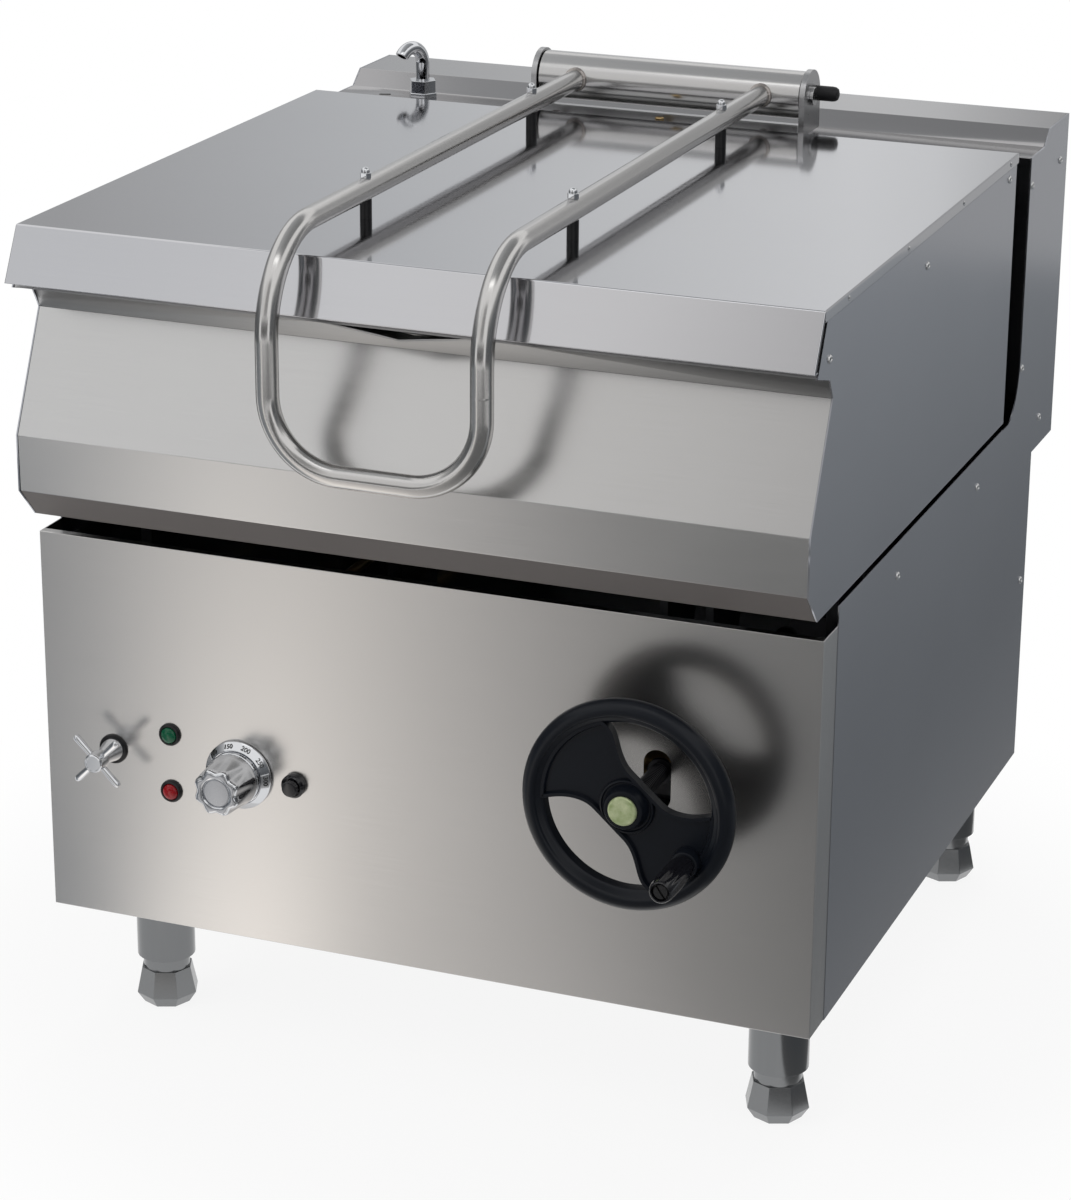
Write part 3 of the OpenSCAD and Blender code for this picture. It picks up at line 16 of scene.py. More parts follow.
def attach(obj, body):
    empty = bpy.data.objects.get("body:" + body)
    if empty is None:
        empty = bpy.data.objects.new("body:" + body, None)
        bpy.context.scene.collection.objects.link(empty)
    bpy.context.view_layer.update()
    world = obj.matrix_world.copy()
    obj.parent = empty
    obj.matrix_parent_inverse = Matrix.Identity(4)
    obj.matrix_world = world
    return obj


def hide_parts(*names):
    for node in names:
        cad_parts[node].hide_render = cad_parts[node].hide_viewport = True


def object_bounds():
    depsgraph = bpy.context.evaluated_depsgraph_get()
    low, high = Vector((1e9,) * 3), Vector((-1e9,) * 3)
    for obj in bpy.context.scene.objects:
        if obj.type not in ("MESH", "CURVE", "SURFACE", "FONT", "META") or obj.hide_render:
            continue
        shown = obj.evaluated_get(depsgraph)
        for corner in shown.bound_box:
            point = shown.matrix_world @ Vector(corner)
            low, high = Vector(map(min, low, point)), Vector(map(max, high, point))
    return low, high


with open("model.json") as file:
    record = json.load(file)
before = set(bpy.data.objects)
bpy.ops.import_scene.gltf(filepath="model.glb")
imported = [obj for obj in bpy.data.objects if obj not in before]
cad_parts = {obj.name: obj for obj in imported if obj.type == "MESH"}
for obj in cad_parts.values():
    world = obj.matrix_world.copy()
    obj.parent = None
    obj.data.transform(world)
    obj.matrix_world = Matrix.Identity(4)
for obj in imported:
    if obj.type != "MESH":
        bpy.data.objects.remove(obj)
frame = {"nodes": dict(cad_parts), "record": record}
cad_low, cad_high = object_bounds()
record = frame["record"]
nodes = frame["nodes"]
MM = 0.001
print("packed box", [round(v, 3) for v in cad_high - cad_low])

# %% [markdown]
# The camera stands to the right of the front and looks down at about 20 degrees. It was fitted to
# the edges of the photograph. The sensor's width belongs to the long side of the picture, its
# height.

# %% Camera
scene = bpy.context.scene


def spun(degrees, axis):
    """A turn round an axis."""
    return Matrix.Rotation(math.radians(degrees), 4, axis)


camera = bpy.data.objects.new("camera", bpy.data.cameras.new("camera"))
scene.collection.objects.link(camera)
scene.camera = camera
camera_place = (1.2527, -3.2203, 1.6651)
camera_heading, camera_dip, camera_roll = 21.5, 19.94, 0.4
aim = spun(camera_heading, "Z") @ spun(90 - camera_dip, "X") @ spun(camera_roll, "Z")
camera.matrix_world = Matrix.Translation(camera_place) @ aim
camera.data.sensor_width = 36
camera.data.lens = 106.6
print("lens", camera.data.lens)

# %% [markdown]
# Stainless steel shows its surroundings, so the studio matters as much as the steel. The room is
# white for the camera and in reflections, and weaker as a source of light, so that the lamps can
# shape the plastic parts. A Light Path node tells the kinds of rays apart.

# %% The white room
scene.view_settings.view_transform = "Standard"
world = bpy.data.worlds.new("studio")
scene.world = world
world.use_nodes = True


def reckoned(tree, operation, first, second):
    """A Math node that works on two sockets, or on a socket and a number."""
    node = tree.nodes.new("ShaderNodeMath")
    node.operation = operation
    for place, value in zip(node.inputs, (first, second)):
        if isinstance(value, float):
            place.default_value = value
        else:
            tree.links.new(value, place)
    return node.outputs[0]


def ranged(tree, value, source=(0, 1), target=(0, 1), kind="LINEAR"):
    """A Map Range node that turns the numbers of one range into those of another."""
    node = tree.nodes.new("ShaderNodeMapRange")
    node.interpolation_type = kind
    for name, number in zip(("From Min", "From Max", "To Min", "To Max"), (*source, *target)):
        node.inputs[name].default_value = number
    tree.links.new(value, node.inputs["Value"])
    return node.outputs["Result"]


def seen_rays(tree):
    """One where the camera, a reflection or a see-through part looks, else zero."""
    rays = tree.nodes.new("ShaderNodeLightPath").outputs
    mirrored = reckoned(tree, "MAXIMUM", rays["Is Camera Ray"], rays["Is Glossy Ray"])
    return reckoned(tree, "MAXIMUM", mirrored, rays["Is Transmission Ray"])


room = world.node_tree
room_light = room.nodes["Background"]
room_light.inputs["Color"].default_value = (1, 1, 1, 1)
light_level, seen_level = 0.5, 1.0
level = ranged(room, seen_rays(room), target=(light_level, seen_level))
room.links.new(level, room_light.inputs["Strength"])
print("room", light_level, "as a light,", seen_level, "where it is seen")

# %% [markdown]
# A product studio has a pale floor that keeps the object's shadow. Near the object this one is
# partly paint in the light of the lamps. Farther out it turns into an even white, where the camera
# and the reflections look, so that no edge of the floor shows.

# %% Floor


def linked_object(bm, name):
    """Turns a bmesh into an object of the scene."""
    mesh = bpy.data.meshes.new(name)
    bm.to_mesh(mesh)
    bm.free()
    thing = bpy.data.objects.new(name, mesh)
    scene.collection.objects.link(thing)
    return thing


def stage_sheet(name, size, centre, turn=Matrix.Identity(4)):
    """A flat sheet of the studio with an empty material tree."""
    bm = bmesh.new()
    bmesh.ops.create_grid(bm, x_segments=1, y_segments=1, size=0.5)
    place = Matrix.Translation(centre) @ turn @ Matrix.Diagonal((size[0], size[1], 1, 1))
    bmesh.ops.transform(bm, matrix=place, verts=bm.verts)
    sheet = linked_object(bm, name)
    paint = bpy.data.materials.new(name)
    paint.use_nodes = True
    sheet.data.materials.append(paint)
    return sheet, paint.node_tree


floor, floor_tree = stage_sheet("floor", (30, 30), (0, 0, cad_low.z))
floor_paint = floor_tree.nodes["Principled BSDF"]
floor_paint.inputs["Base Color"].default_value = (0.82, 0.82, 0.82, 1)
floor_paint.inputs["Roughness"].default_value = 0.9
floor_paint.inputs["Specular IOR Level"].default_value = 0.0
spot = floor_tree.nodes.new("ShaderNodeTexCoord")
reach = floor_tree.nodes.new("ShaderNodeVectorMath")
reach.operation = "LENGTH"
floor_tree.links.new(spot.outputs["Object"], reach.inputs[0])
fade_ends, near_white = (0.5, 0.9), 0.88
fade = ranged(floor_tree, reach.outputs["Value"], fade_ends, (near_white, 1), "SMOOTHSTEP")
where_seen = reckoned(floor_tree, "MULTIPLY", fade, seen_rays(floor_tree))
white = floor_tree.nodes.new("ShaderNodeEmission")
blend = floor_tree.nodes.new("ShaderNodeMixShader")
for place, source in enumerate((where_seen, floor_paint.outputs[0], white.outputs[0])):
    floor_tree.links.new(source, blend.inputs[place])
floor_tree.links.new(blend.outputs[0], floor_tree.nodes["Material Output"].inputs["Surface"])
print("floor at", round(cad_low.z, 4), "even white from", fade_ends[1], "m out")

# %% [markdown]
# A photographer stands grey cards round a steel object, so that each flat side mirrors a calm tone
# that runs from light to dark. These cards show only in reflections. Each has a colour ramp along
# one direction, in the tones that the photograph's steel mirrors. One small white card overhead
# draws the bright lines on the round parts.

# %% Grey cards


def card(name, size, centre, axis, low, high, tones,
         turn=Matrix.Identity(4), strength=1.0, lean=0):
    """A card that only reflections see, with its tones along an axis from low to high.

    A tone is its place on the ramp, its grey, and its warmth, which is bluer below zero."""
    sheet, tree = stage_sheet(name, size, centre, turn)
    sheet.visible_camera = sheet.visible_diffuse = False
    sheet.visible_shadow = sheet.visible_volume_scatter = False
    place = tree.nodes.new("ShaderNodeTexCoord")
    leaning = tree.nodes.new("ShaderNodeMapping")
    leaning.inputs["Rotation"].default_value = (0, 0, math.radians(lean))
    tree.links.new(place.outputs["Object"], leaning.inputs["Vector"])
    split = tree.nodes.new("ShaderNodeSeparateXYZ")
    tree.links.new(leaning.outputs["Vector"], split.inputs[0])
    along = ranged(tree, split.outputs[axis], source=(low, high))
    ramp = tree.nodes.new("ShaderNodeValToRGB")
    stops = ramp.color_ramp.elements
    stops[0].position, stops[1].position = tones[0][0], tones[-1][0]
    for between in tones[1:-1]:
        stops.new(between[0])
    for stop, (_, value, warm) in zip(stops, tones):
        stop.color = (value * (1 + warm), value, value * (1 - warm), 1)
    tree.links.new(along, ramp.inputs["Fac"])
    glow = tree.nodes.new("ShaderNodeEmission")
    glow.inputs["Strength"].default_value = strength
    tree.links.new(ramp.outputs["Color"], glow.inputs["Color"])
    tree.links.new(glow.outputs[0], tree.nodes["Material Output"].inputs["Surface"])


upright_x, upright_y = spun(90, "Y"), spun(90, "X")
above_floor = cad_low.z + 0.003
card("front_floor_card", (6.0, 2.7), (-0.8, -1.86, above_floor), "X", -0.3, 0.7, [
    (0.0, 0.24, -0.06), (0.12, 0.36, -0.03), (0.20, 0.86, 0.03), (0.29, 1.12, 0.05),
    (0.42, 0.64, 0.03), (0.60, 0.46, 0.02), (0.77, 0.26, 0.01), (1.0, 0.14, -0.01)],
    strength=1.25, lean=26)
card("right_floor_card", (2.4, 5.6), (1.62, 2.3, above_floor), "X", 0.42, 1.6, [
    (0.0, 0.24, 0), (0.08, 0.20, -0.04), (0.2, 0.16, -0.06), (0.5, 0.26, -0.05),
    (1.0, 0.40, -0.05)])
card("back_card", (6.5, 2.6), (-1.2, 3.1, 1.3), "X", -2.3, 0.7, [
    (0.0, 0.44, -0.01), (0.25, 0.60, -0.02), (0.48, 0.74, -0.01), (0.57, 0.80, -0.01),
    (0.62, 0.76, -0.01), (0.70, 0.50, -0.01), (0.82, 0.44, -0.01), (1.0, 0.44, -0.01)],
    upright_y)
card("upper_front_card", (5.0, 3.4), (-1.2, -4.2, 3.3), "X", -2.9, -0.4, [
    (0.0, 0.80, -0.01), (0.3, 0.88, 0), (0.55, 0.86, 0.01), (0.8, 0.60, 0.01), (1.0, 0.38, 0)],
    upright_y)
card("low_front_card", (6.0, 1.6), (0.2, -5.2, 0.8), "Z", 0.0, 1.6, [
    (0.0, 0.10, 0), (0.6, 0.16, 0), (1.0, 0.5, 0)], upright_y)
card("left_card", (2.2, 5.0), (-2.9, -0.4, 1.1), "Z", 0.0, 2.2, [
    (0.0, 0.10, -0.05), (0.5, 0.18, -0.05), (1.0, 0.6, 0)], upright_x)
card("right_card", (2.4, 6.0), (2.8, 0.4, 1.2), "Z", 0.0, 2.4, [
    (0.0, 0.10, -0.05), (0.6, 0.18, -0.05), (1.0, 0.5, 0)], upright_x)
card("ceiling_card", (3.4, 3.4), (0.2, 0.6, 3.6), "X", -1.5, 1.9, [
    (0.0, 0.55, -0.02), (0.5, 0.34, -0.02), (1.0, 0.24, -0.02)])
card("overhead_card", (1.6, 0.28), (-0.1, -1.3, 3.2), "X", -0.8, 0.6, [
    (0.0, 1.0, 0), (1.0, 1.0, 0)], strength=2.2)

# %% [markdown]
# Three soft lamps light the paint and the plastic at a plain level. Reflections don't see the
# lamps, as the cards do that work, so no hot spot burns out on the steel.

# %% Lamps


def lamp(name, place, target, size, power, colour=(1, 1, 1)):
    """A soft lamp that points at a target."""
    data = bpy.data.lights.new(name, "AREA")
    data.shape = "RECTANGLE"
    data.size = size[0]
    data.size_y = size[1]
    data.energy = power
    data.color = colour
    holder = bpy.data.objects.new(name, data)
    scene.collection.objects.link(holder)
    direction = Vector(target) - Vector(place)
    turn = direction.to_track_quat("-Z", "Y").to_matrix().to_4x4()
    holder.matrix_world = Matrix.Translation(place) @ turn
    holder.visible_glossy = False


middle = (0, 0, 0.5)
lamp("key_lamp", (-1.9, -2.2, 2.3), middle, (1.6, 1.6), 30, (1.0, 0.985, 0.96))
lamp("fill_lamp", (2.6, -1.4, 1.6), middle, (1.2, 2.0), 8, (0.95, 0.97, 1.0))
lamp("top_lamp", (0.2, 0.4, 3.0), middle, (2.6, 2.2), 34)

# %% [markdown]
# Every finish starts from one recipe. Metal is bare and mirrors the room, and its fine scratches
# come from noise that is stretched along the grain. A second, broad noise is the wiping and the
# handling that make steel a little uneven. The patterns read Object coordinates, so that they stay
# on a piece when the pan tips.

# %% The recipe for a finish
finishes = {}
even = (1, 1, 1)
fine_detail, fine_roughness, broad_detail = 5, 0.6, 3
least_roughness, coat_roughness = 0.01, 0.05
shade_stops = (0.30, 0.70)
scratch_height = 0.0002


def noise(tree, where, scale, detail):
    """A noise node that reads the given place."""
    node = tree.nodes.new("ShaderNodeTexNoise")
    node.inputs["Scale"].default_value = scale
    node.inputs["Detail"].default_value = detail
    tree.links.new(where, node.inputs["Vector"])
    return node


def finish(name, colour, roughness, metal=0.0, grain=even, scale=900, spread=0.03, bump=0.01,
           shade=0.03, coat=0.0, stretch=None, anisotropy=0.0, specular=0.5, smudge=0.02, patch=5,
           tint=None):
    """A procedural material: fine grain, broad smudges, and slight shifts of colour."""
    material = bpy.data.materials.new(name)
    material.use_nodes = True
    tree = material.node_tree
    link = tree.links.new
    shader = tree.nodes["Principled BSDF"]
    shader.inputs["Metallic"].default_value = metal
    shader.inputs["Coat Weight"].default_value = coat
    shader.inputs["Coat Roughness"].default_value = coat_roughness
    shader.inputs["Specular IOR Level"].default_value = specular
    shader.inputs["Anisotropic"].default_value = anisotropy
    place = tree.nodes.new("ShaderNodeTexCoord")
    along = tree.nodes.new("ShaderNodeMapping")
    along.inputs["Scale"].default_value = grain
    link(place.outputs["Object"], along.inputs["Vector"])
    scratches = noise(tree, along.outputs["Vector"], scale, fine_detail)
    scratches.inputs["Roughness"].default_value = fine_roughness
    fine = scratches.outputs["Fac"]
    broad = noise(tree, place.outputs["Object"], patch, broad_detail).outputs["Fac"]
    smoothest = max(least_roughness, roughness - spread)
    rough = ranged(tree, fine, target=(smoothest, roughness + spread))
    wiped = ranged(tree, broad, target=(-smudge, smudge))
    link(reckoned(tree, "ADD", rough, wiped), shader.inputs["Roughness"])
    ramp = tree.nodes.new("ShaderNodeValToRGB")
    dark, light = ramp.color_ramp.elements
    dark.position, light.position = shade_stops
    dark.color = (*[part * (1 - shade) for part in colour], 1)
    light.color = (*[min(1, part * (1 + shade)) for part in tint or colour], 1)
    mean = reckoned(tree, "MULTIPLY", reckoned(tree, "ADD", fine, broad), 0.5)
    link(mean, ramp.inputs["Fac"])
    link(ramp.outputs["Color"], shader.inputs["Base Color"])
    if bump:
        lift = tree.nodes.new("ShaderNodeBump")
        lift.inputs["Strength"].default_value = bump
        lift.inputs["Distance"].default_value = scratch_height
        link(fine, lift.inputs["Height"])
        link(lift.outputs["Normal"], shader.inputs["Normal"])
    if stretch:
        way = tree.nodes.new("ShaderNodeCombineXYZ")
        for axis, part in zip("XYZ", stretch):
            way.inputs[axis].default_value = part
        turned = tree.nodes.new("ShaderNodeVectorTransform")
        turned.vector_type = "VECTOR"
        turned.convert_from = "OBJECT"
        turned.convert_to = "WORLD"
        link(way.outputs["Vector"], turned.inputs["Vector"])
        link(turned.outputs["Vector"], shader.inputs["Tangent"])
    finishes[name] = material


# %% [markdown]
# The sheets differ on the real pan. The front and the casing are ground in one direction, the lid
# is nearly a mirror, and the sides are ground front to back. The sheets of the sides and the back
# are darker and bluer than the front: painted shade for the shade they lie in. Tubes are satin, and
# the small fittings are chromed. The plastics are nearly black, and the grip is glossier than the
# wheel.

# %% Finishes
along_x = (0.015, 1, 1)
along_y = (1, 0.015, 1)
along_z = (1, 1, 0.015)
finish("brushed_front", (0.60, 0.59, 0.58), 0.24, 1, along_x, 700, 0.02, 0.002, 0.03,
       stretch=(1, 0, 0), anisotropy=0.35)
finish("brushed_casing", (0.62, 0.615, 0.61), 0.22, 1, along_x, 700, 0.02, 0.002, 0.03,
       stretch=(1, 0, 0), anisotropy=0.35)
# Painted shade: a dark matt finish for the casing's lowest fold, which lies in shade under the pan.
finish("casing_return_painted_shade", (0.135, 0.123, 0.118), 0.45, 0, along_x, 700, 0.02, 0.002, 0.03,
       specular=0.15)
# Painted shade: the sides and back are darker and bluer than the front, for the shade they lie in.
finish("side_steel_painted_shade", (0.48, 0.49, 0.525), 0.20, 1, along_y, 700, 0.02, 0.002, 0.03,
       stretch=(0, 1, 0), anisotropy=0.3)
finish("polished_lid", (0.60, 0.60, 0.62), 0.085, 1, along_x, 600, 0.015, 0.003, 0.015)
finish("column_steel", (0.40, 0.395, 0.40), 0.13, 1, along_x, 600, 0.02, 0.004, 0.02)
finish("inner_steel", (0.46, 0.46, 0.46), 0.34, 1, along_x, 400, shade=0.05)
finish("tube_steel", (0.56, 0.55, 0.54), 0.19, 1, even, 700, bump=0.004)
finish("hinge_steel", (0.56, 0.555, 0.55), 0.19, 1, along_x, 600, bump=0.004)
finish("plate_steel", (0.46, 0.46, 0.465), 0.30, 1, even, 420, 0.08, 0.03, 0.08)
# Painted shade: the legs are much darker than the other steel, for the shade they stand in under the
# cabinet.
finish("leg_steel", (0.20, 0.205, 0.21), 0.15, 1, along_z, 500, bump=0.01, shade=0.05)
finish("foot_steel", (0.22, 0.225, 0.23), 0.20, 1, even, 500, 0.06, 0.01, 0.06)
finish("chrome", (0.68, 0.69, 0.71), 0.08, 1, even, 500, 0.015, 0, 0.01, smudge=0.01)
finish("bright_steel", (0.66, 0.66, 0.66), 0.20, 1, even, 600)
finish("frame_steel", (0.26, 0.27, 0.29), 0.42, 1, even, 300, 0.08, 0.03, 0.08)
finish("bolt_steel", (0.16, 0.15, 0.15), 0.36, 1, even, 400, 0.08, 0.03, 0.10)
finish("bolt_black", (0.012, 0.012, 0.013), 0.28, 0, even, 400, 0.05, 0.02, 0.1)
finish("weld_bead", (0.38, 0.35, 0.33), 0.34, 1, even, 500, 0.08, 0.25, 0.20)
finish("brass", (0.52, 0.37, 0.18), 0.30, 1, even, 400, 0.06, 0.02, 0.08)
finish("yellow_zinc", (0.32, 0.42, 0.17), 0.36, 0.5, even, 120, 0.08, 0.03, 0.12,
       smudge=0.06, patch=110, tint=(0.60, 0.64, 0.42))
finish("black_plastic", (0.009, 0.009, 0.010), 0.30, 0, even, 500, 0.06, 0.03, 0.15, specular=0.3)
finish("wheel_plastic", (0.0045, 0.0060, 0.0095), 0.30, 0, even, 900, 0.05, 0.04, 0.2,
       specular=0.22)
finish("grip_plastic", (0.006, 0.006, 0.008), 0.10, 0, even, 700, 0.03, 0.005, 0.2)
finish("rubber", (0.012, 0.012, 0.013), 0.5, 0, even, 300, 0.06, 0.08, 0.2, specular=0.3)
for lens, glass in (("green_lens", (0.0, 0.080, 0.035)), ("red_lens", (0.26, 0.002, 0.006))):
    finish(lens, glass, 0.12, 0, even, 90, 0.02, 0.01, 0.2, coat=0.2, specular=0.3)
finish("number_ink", (0.03, 0.03, 0.03), 0.45, 0, even, 900, 0.05, 0, 0.2)
finish("dark_mark", (0.02, 0.02, 0.02), 0.5, 0, even, 900, 0.05, 0, 0.2)
finish("disc_grey", (0.34, 0.355, 0.38), 0.26, 1, even, 700, 0.05, 0.01, 0.05)
print(len(finishes), "finishes")

# %% [markdown]
# The spindle's thread is a bump that repeats along its length. It is hidden in the cabinet for most
# of its length, so a banded wave is enough and the mesh stays light.

# %% The threaded finish
finish("thread_steel", (0.035, 0.035, 0.038), 0.34, 1, even, 500, bump=0)
thread_pitch, thread_depth = 3 * MM, 1 * MM
wave_length = 0.314  # of the wave texture at a scale of 1, in metres
thread = finishes["thread_steel"].node_tree
thread_place = thread.nodes.new("ShaderNodeTexCoord")
thread_wave = thread.nodes.new("ShaderNodeTexWave")
thread_wave.bands_direction = "Y"
thread_wave.wave_profile = "TRI"
thread_wave.inputs["Scale"].default_value = wave_length / thread_pitch
thread.links.new(thread_place.outputs["Object"], thread_wave.inputs["Vector"])
thread_bump = thread.nodes.new("ShaderNodeBump")
thread_bump.inputs["Strength"].default_value = 0.8
thread_bump.inputs["Distance"].default_value = thread_depth
thread.links.new(thread_wave.outputs["Fac"], thread_bump.inputs["Height"])
thread.links.new(thread_bump.outputs["Normal"], thread.nodes["Principled BSDF"].inputs["Normal"])
print("thread pitch", thread_pitch / MM, "mm")

# %% [markdown]
# Every new piece rides on the body that it moves with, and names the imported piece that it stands
# for. Smooth shading with sharp real edges, and weighted normals, keep flat faces flat beside a
# bevel.

# %% Shared helpers for pieces
body_of = {node: body for body, names in record["behaviour"]["bodies"].items() for node in names}
panel_y = -347 * MM  # where the front panel's face stands in the model


def piece_from(bm, name, material, node, replaces=True, angle=35):
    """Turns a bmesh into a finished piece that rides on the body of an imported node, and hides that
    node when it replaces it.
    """
    piece = linked_object(bm, name)
    piece.data.materials.append(finishes[material])
    piece.data.shade_smooth()
    piece.data.set_sharp_from_angle(angle=math.radians(angle))
    piece.modifiers.new("weighted", "WEIGHTED_NORMAL").keep_sharp = True
    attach(piece, body_of[node])
    if replaces:
        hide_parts(node)
    return piece


def merged_copy(node, convex=False):
    """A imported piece's mesh with its triangles joined into flat faces, hollow ones split again."""
    loose_gap, flat_angle, most_corners = 0.00002, 0.5, 7
    bm = bmesh.new()
    bm.from_mesh(nodes[node].data)
    bmesh.ops.remove_doubles(bm, verts=bm.verts, dist=loose_gap)
    bmesh.ops.dissolve_limit(
        bm, angle_limit=math.radians(flat_angle), verts=bm.verts, edges=bm.edges,
        use_dissolve_boundaries=False)
    if convex:
        hollow = [face for face in bm.faces if len(face.verts) > most_corners]
        bmesh.ops.connect_verts_concave(bm, faces=hollow)
    return bm


def ease(bm, edges, radius, segments=2):
    """Rounds the chosen edges."""
    bmesh.ops.bevel(
        bm, geom=edges, offset=radius, offset_type="OFFSET", affect="EDGES", segments=segments,
        profile=0.5, material=-1, clamp_overlap=True)


def corner_edges(bm, least=50):
    """The edges whose faces meet at more than the least angle."""
    return [edge for edge in bm.edges
            if len(edge.link_faces) == 2 and edge.calc_face_angle(0) > math.radians(least)]


def fold_edges(bm, wide=5 * MM):
    """The outer edges of folds: long, convex, and between two faces wider than the sheet."""
    shortest, slightest = 30 * MM, 12
    found = []
    for edge in bm.edges:
        if len(edge.link_faces) != 2 or not edge.is_convex or edge.calc_length() < shortest:
            continue
        if edge.calc_face_angle(0) < math.radians(slightest):
            continue
        if min(face.calc_area() / edge.calc_length() for face in edge.link_faces) > wide:
            found.append(edge)
    return found


def dressed(node, material, radius=0.3 * MM, least=50, fold=0.0, convex=False):
    """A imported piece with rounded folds, eased edges and its finish."""
    bm = merged_copy(node, convex)
    if fold:
        ease(bm, fold_edges(bm), fold, 4)
    ease(bm, corner_edges(bm, least), radius)
    piece_from(bm, node + "_dressed", material, node)


def dress_all(table, **way):
    """Dresses the nodes that a table names for each finish, and counts them."""
    pairs = [(node, material) for material, names in table.items() for node in names.split()]
    for node, material in pairs:
        dressed(node, material, **way)
    return len(pairs)


def thickened(bm, height):
    """Gives a flat sheet its thickness: all its faces are extruded and moved up by the height."""
    grown = bmesh.ops.extrude_face_region(bm, geom=bm.faces[:])["geom"]
    lifted = [part for part in grown if isinstance(part, bmesh.types.BMVert)]
    bmesh.ops.translate(bm, vec=(0, 0, height), verts=lifted)
    bmesh.ops.recalc_face_normals(bm, faces=bm.faces)


def drawn_in(vert, share):
    """Moves a point of an upright shape in towards the axis, to a share of its radius."""
    vert.co.x *= share
    vert.co.y *= share


# %% [markdown]
# Sheet steel is folded on a press, which leaves a radius of about one sheet's thickness on the
# outside of each fold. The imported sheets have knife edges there, so their folds get that radius,
# and the cut edges lose only their burr. This is what draws the fine bright lines along the real
# edges.

# %% Folded sheets
sheets = {
    "side_steel_painted_shade": "side_panel_left side_panel_right side_cover_left side_cover_right "
                 "back_panel column_back rear_casing",
    "inner_steel": "bottom_casing floor_tray",
    "column_steel": "column_cover",
    "brushed_casing": "front_casing",
    "polished_lid": "lid_shell",
    "brushed_front": "front_panel",
}
fold_radius = 1.6 * MM
print(dress_all(sheets, fold=fold_radius), "sheets")

# %% [markdown]
# The front casing's lowest fold turns back under the pan. It faces the dark slot above the cabinet
# and lies in shade, so it looks much darker than the rest of the sheet. A dark metal would still
# mirror the floor at such a flat angle, so the faces that look down and forward get a second finish
# that is matt and dark: painted shade for the shade under the pan.

# %% The casing's lowest fold
casing = bpy.data.objects["front_casing_dressed"].data
casing.materials.append(finishes["casing_return_painted_shade"])
turned_down = 0.3
returned = [face for face in casing.polygons if max(face.normal.y, face.normal.z) < -turned_down]
for face in returned:
    face.material_index = 1
print(len(returned), "faces of the casing look down and forward")

# %% [markdown]
# The frame, the brackets and the fittings inside the cabinet are plain workshop parts. They show
# when the pan tips or from behind, and need only their eased edges and a fitting metal.

# %% Inner parts and plain fittings
inner = {
    "frame_steel": "base_frame pivot_brackets swing_stand nut_ears heating_elements",
    "brass": "pivot_bushes swing_block spindle_nut water_pipe",
    "bright_steel": "pivot_pins thermostat hinge_pins",
    "thread_steel": "tilt_spindle",
    "rubber": "rest_pads",
    "black_plastic": "terminal_box cable_gland post_sleeves",
    "leg_steel": "leg_tubes",
    "plate_steel": "hinge_bracket",
}
print(dress_all(inner), "inner parts")

# %% [markdown]
# The pan's tub is deep drawn, so its inner corners are round enough to scrape clean with a spoon.
# Those edges get a wide fillet, and the outer folds of the rim a small radius. The flat faces that
# wrap round the opening are split into convex ones first, because a bevel beside such a face can
# tear it.

# %% The tub
tub = merged_copy("pan_tub", convex=True)
tub_floor, tub_rim, tub_half = 612 * MM, 835 * MM, 336 * MM
tub_fillet, rim_fold, rim_wide, least_upright = 22 * MM, 0.8 * MM, 8 * MM, 100 * MM
inside = []
for edge in corner_edges(tub):
    start, end = (vert.co for vert in edge.verts)
    centre = (start + end) / 2
    within = abs(centre.x) < tub_half and centre.z < tub_rim
    upright = abs(start.z - end.z) > least_upright
    at_floor = abs(centre.z - tub_floor) < 1 * MM
    if within and not edge.is_convex and (upright or at_floor):
        inside.append(edge)
ease(tub, inside, tub_fillet, 6)
ease(tub, fold_edges(tub, rim_wide), rim_fold, 3)
piece_from(tub, "pan_tub_rounded", "inner_steel", "pan_tub")
print(len(inside), "tub corners rounded")

# %% [markdown]
# The rim is cut away at the front, where the food is poured out. A folded channel closes the hollow
# under that cut, from the tub's wall to the nose. It is a flat grid of three strips whose outer
# corners are lifted, and an extrude gives it the thickness of a sheet.

# %% The pouring channel
channel = bmesh.new()
bmesh.ops.create_grid(channel, x_segments=3, y_segments=1, size=1)
channel_floor, channel_side = (38, -17.4, 828.8), (68, -12.6, 838.8)
channel_back, channel_sheet = 27, 1
for vert in channel.verts:
    half, front, height = channel_floor if abs(vert.co.x) < 0.5 else channel_side
    depth = channel_back if vert.co.y > 0 else front
    vert.co = (math.copysign(half, vert.co.x) * MM, panel_y + depth * MM, height * MM)
thickened(channel, -channel_sheet * MM)
channel_piece = piece_from(channel, "pouring_channel", "inner_steel", "pan_tub", replaces=False)
print("channel faces", len(channel_piece.data.polygons))

# %% [markdown]
# Most small parts are turned on a lathe, and a lathe is easy in Blender: draw half of the outline
# and spin it once round. The outline is given in millimetres as radius and height. The shapes are
# made upright and then laid down, so that their top faces the front as on the panel.

# %% A lathe
TURN = math.tau


def lathe(outline, segments=48, closed=False):
    """Spins half an outline of radius and height round the upright axis."""
    bm = bmesh.new()
    points = [bm.verts.new((radius * MM, 0, height * MM)) for radius, height in outline]
    for start, end in zip(points, points[1:]):
        bm.edges.new((start, end))
    if closed:
        bm.edges.new((points[-1], points[0]))
    bmesh.ops.spin(
        bm, geom=bm.verts[:] + bm.edges[:], cent=(0, 0, 0), axis=(0, 0, 1), dvec=(0, 0, 0),
        angle=TURN, steps=segments, use_merge=True, use_duplicate=False)
    bmesh.ops.remove_doubles(bm, verts=bm.verts, dist=0.001 * MM)
    bmesh.ops.recalc_face_normals(bm, faces=bm.faces)
    return bm


def moved(bm, matrix):
    """Moves a whole bmesh."""
    bmesh.ops.transform(bm, matrix=matrix, verts=bm.verts)
    return bm


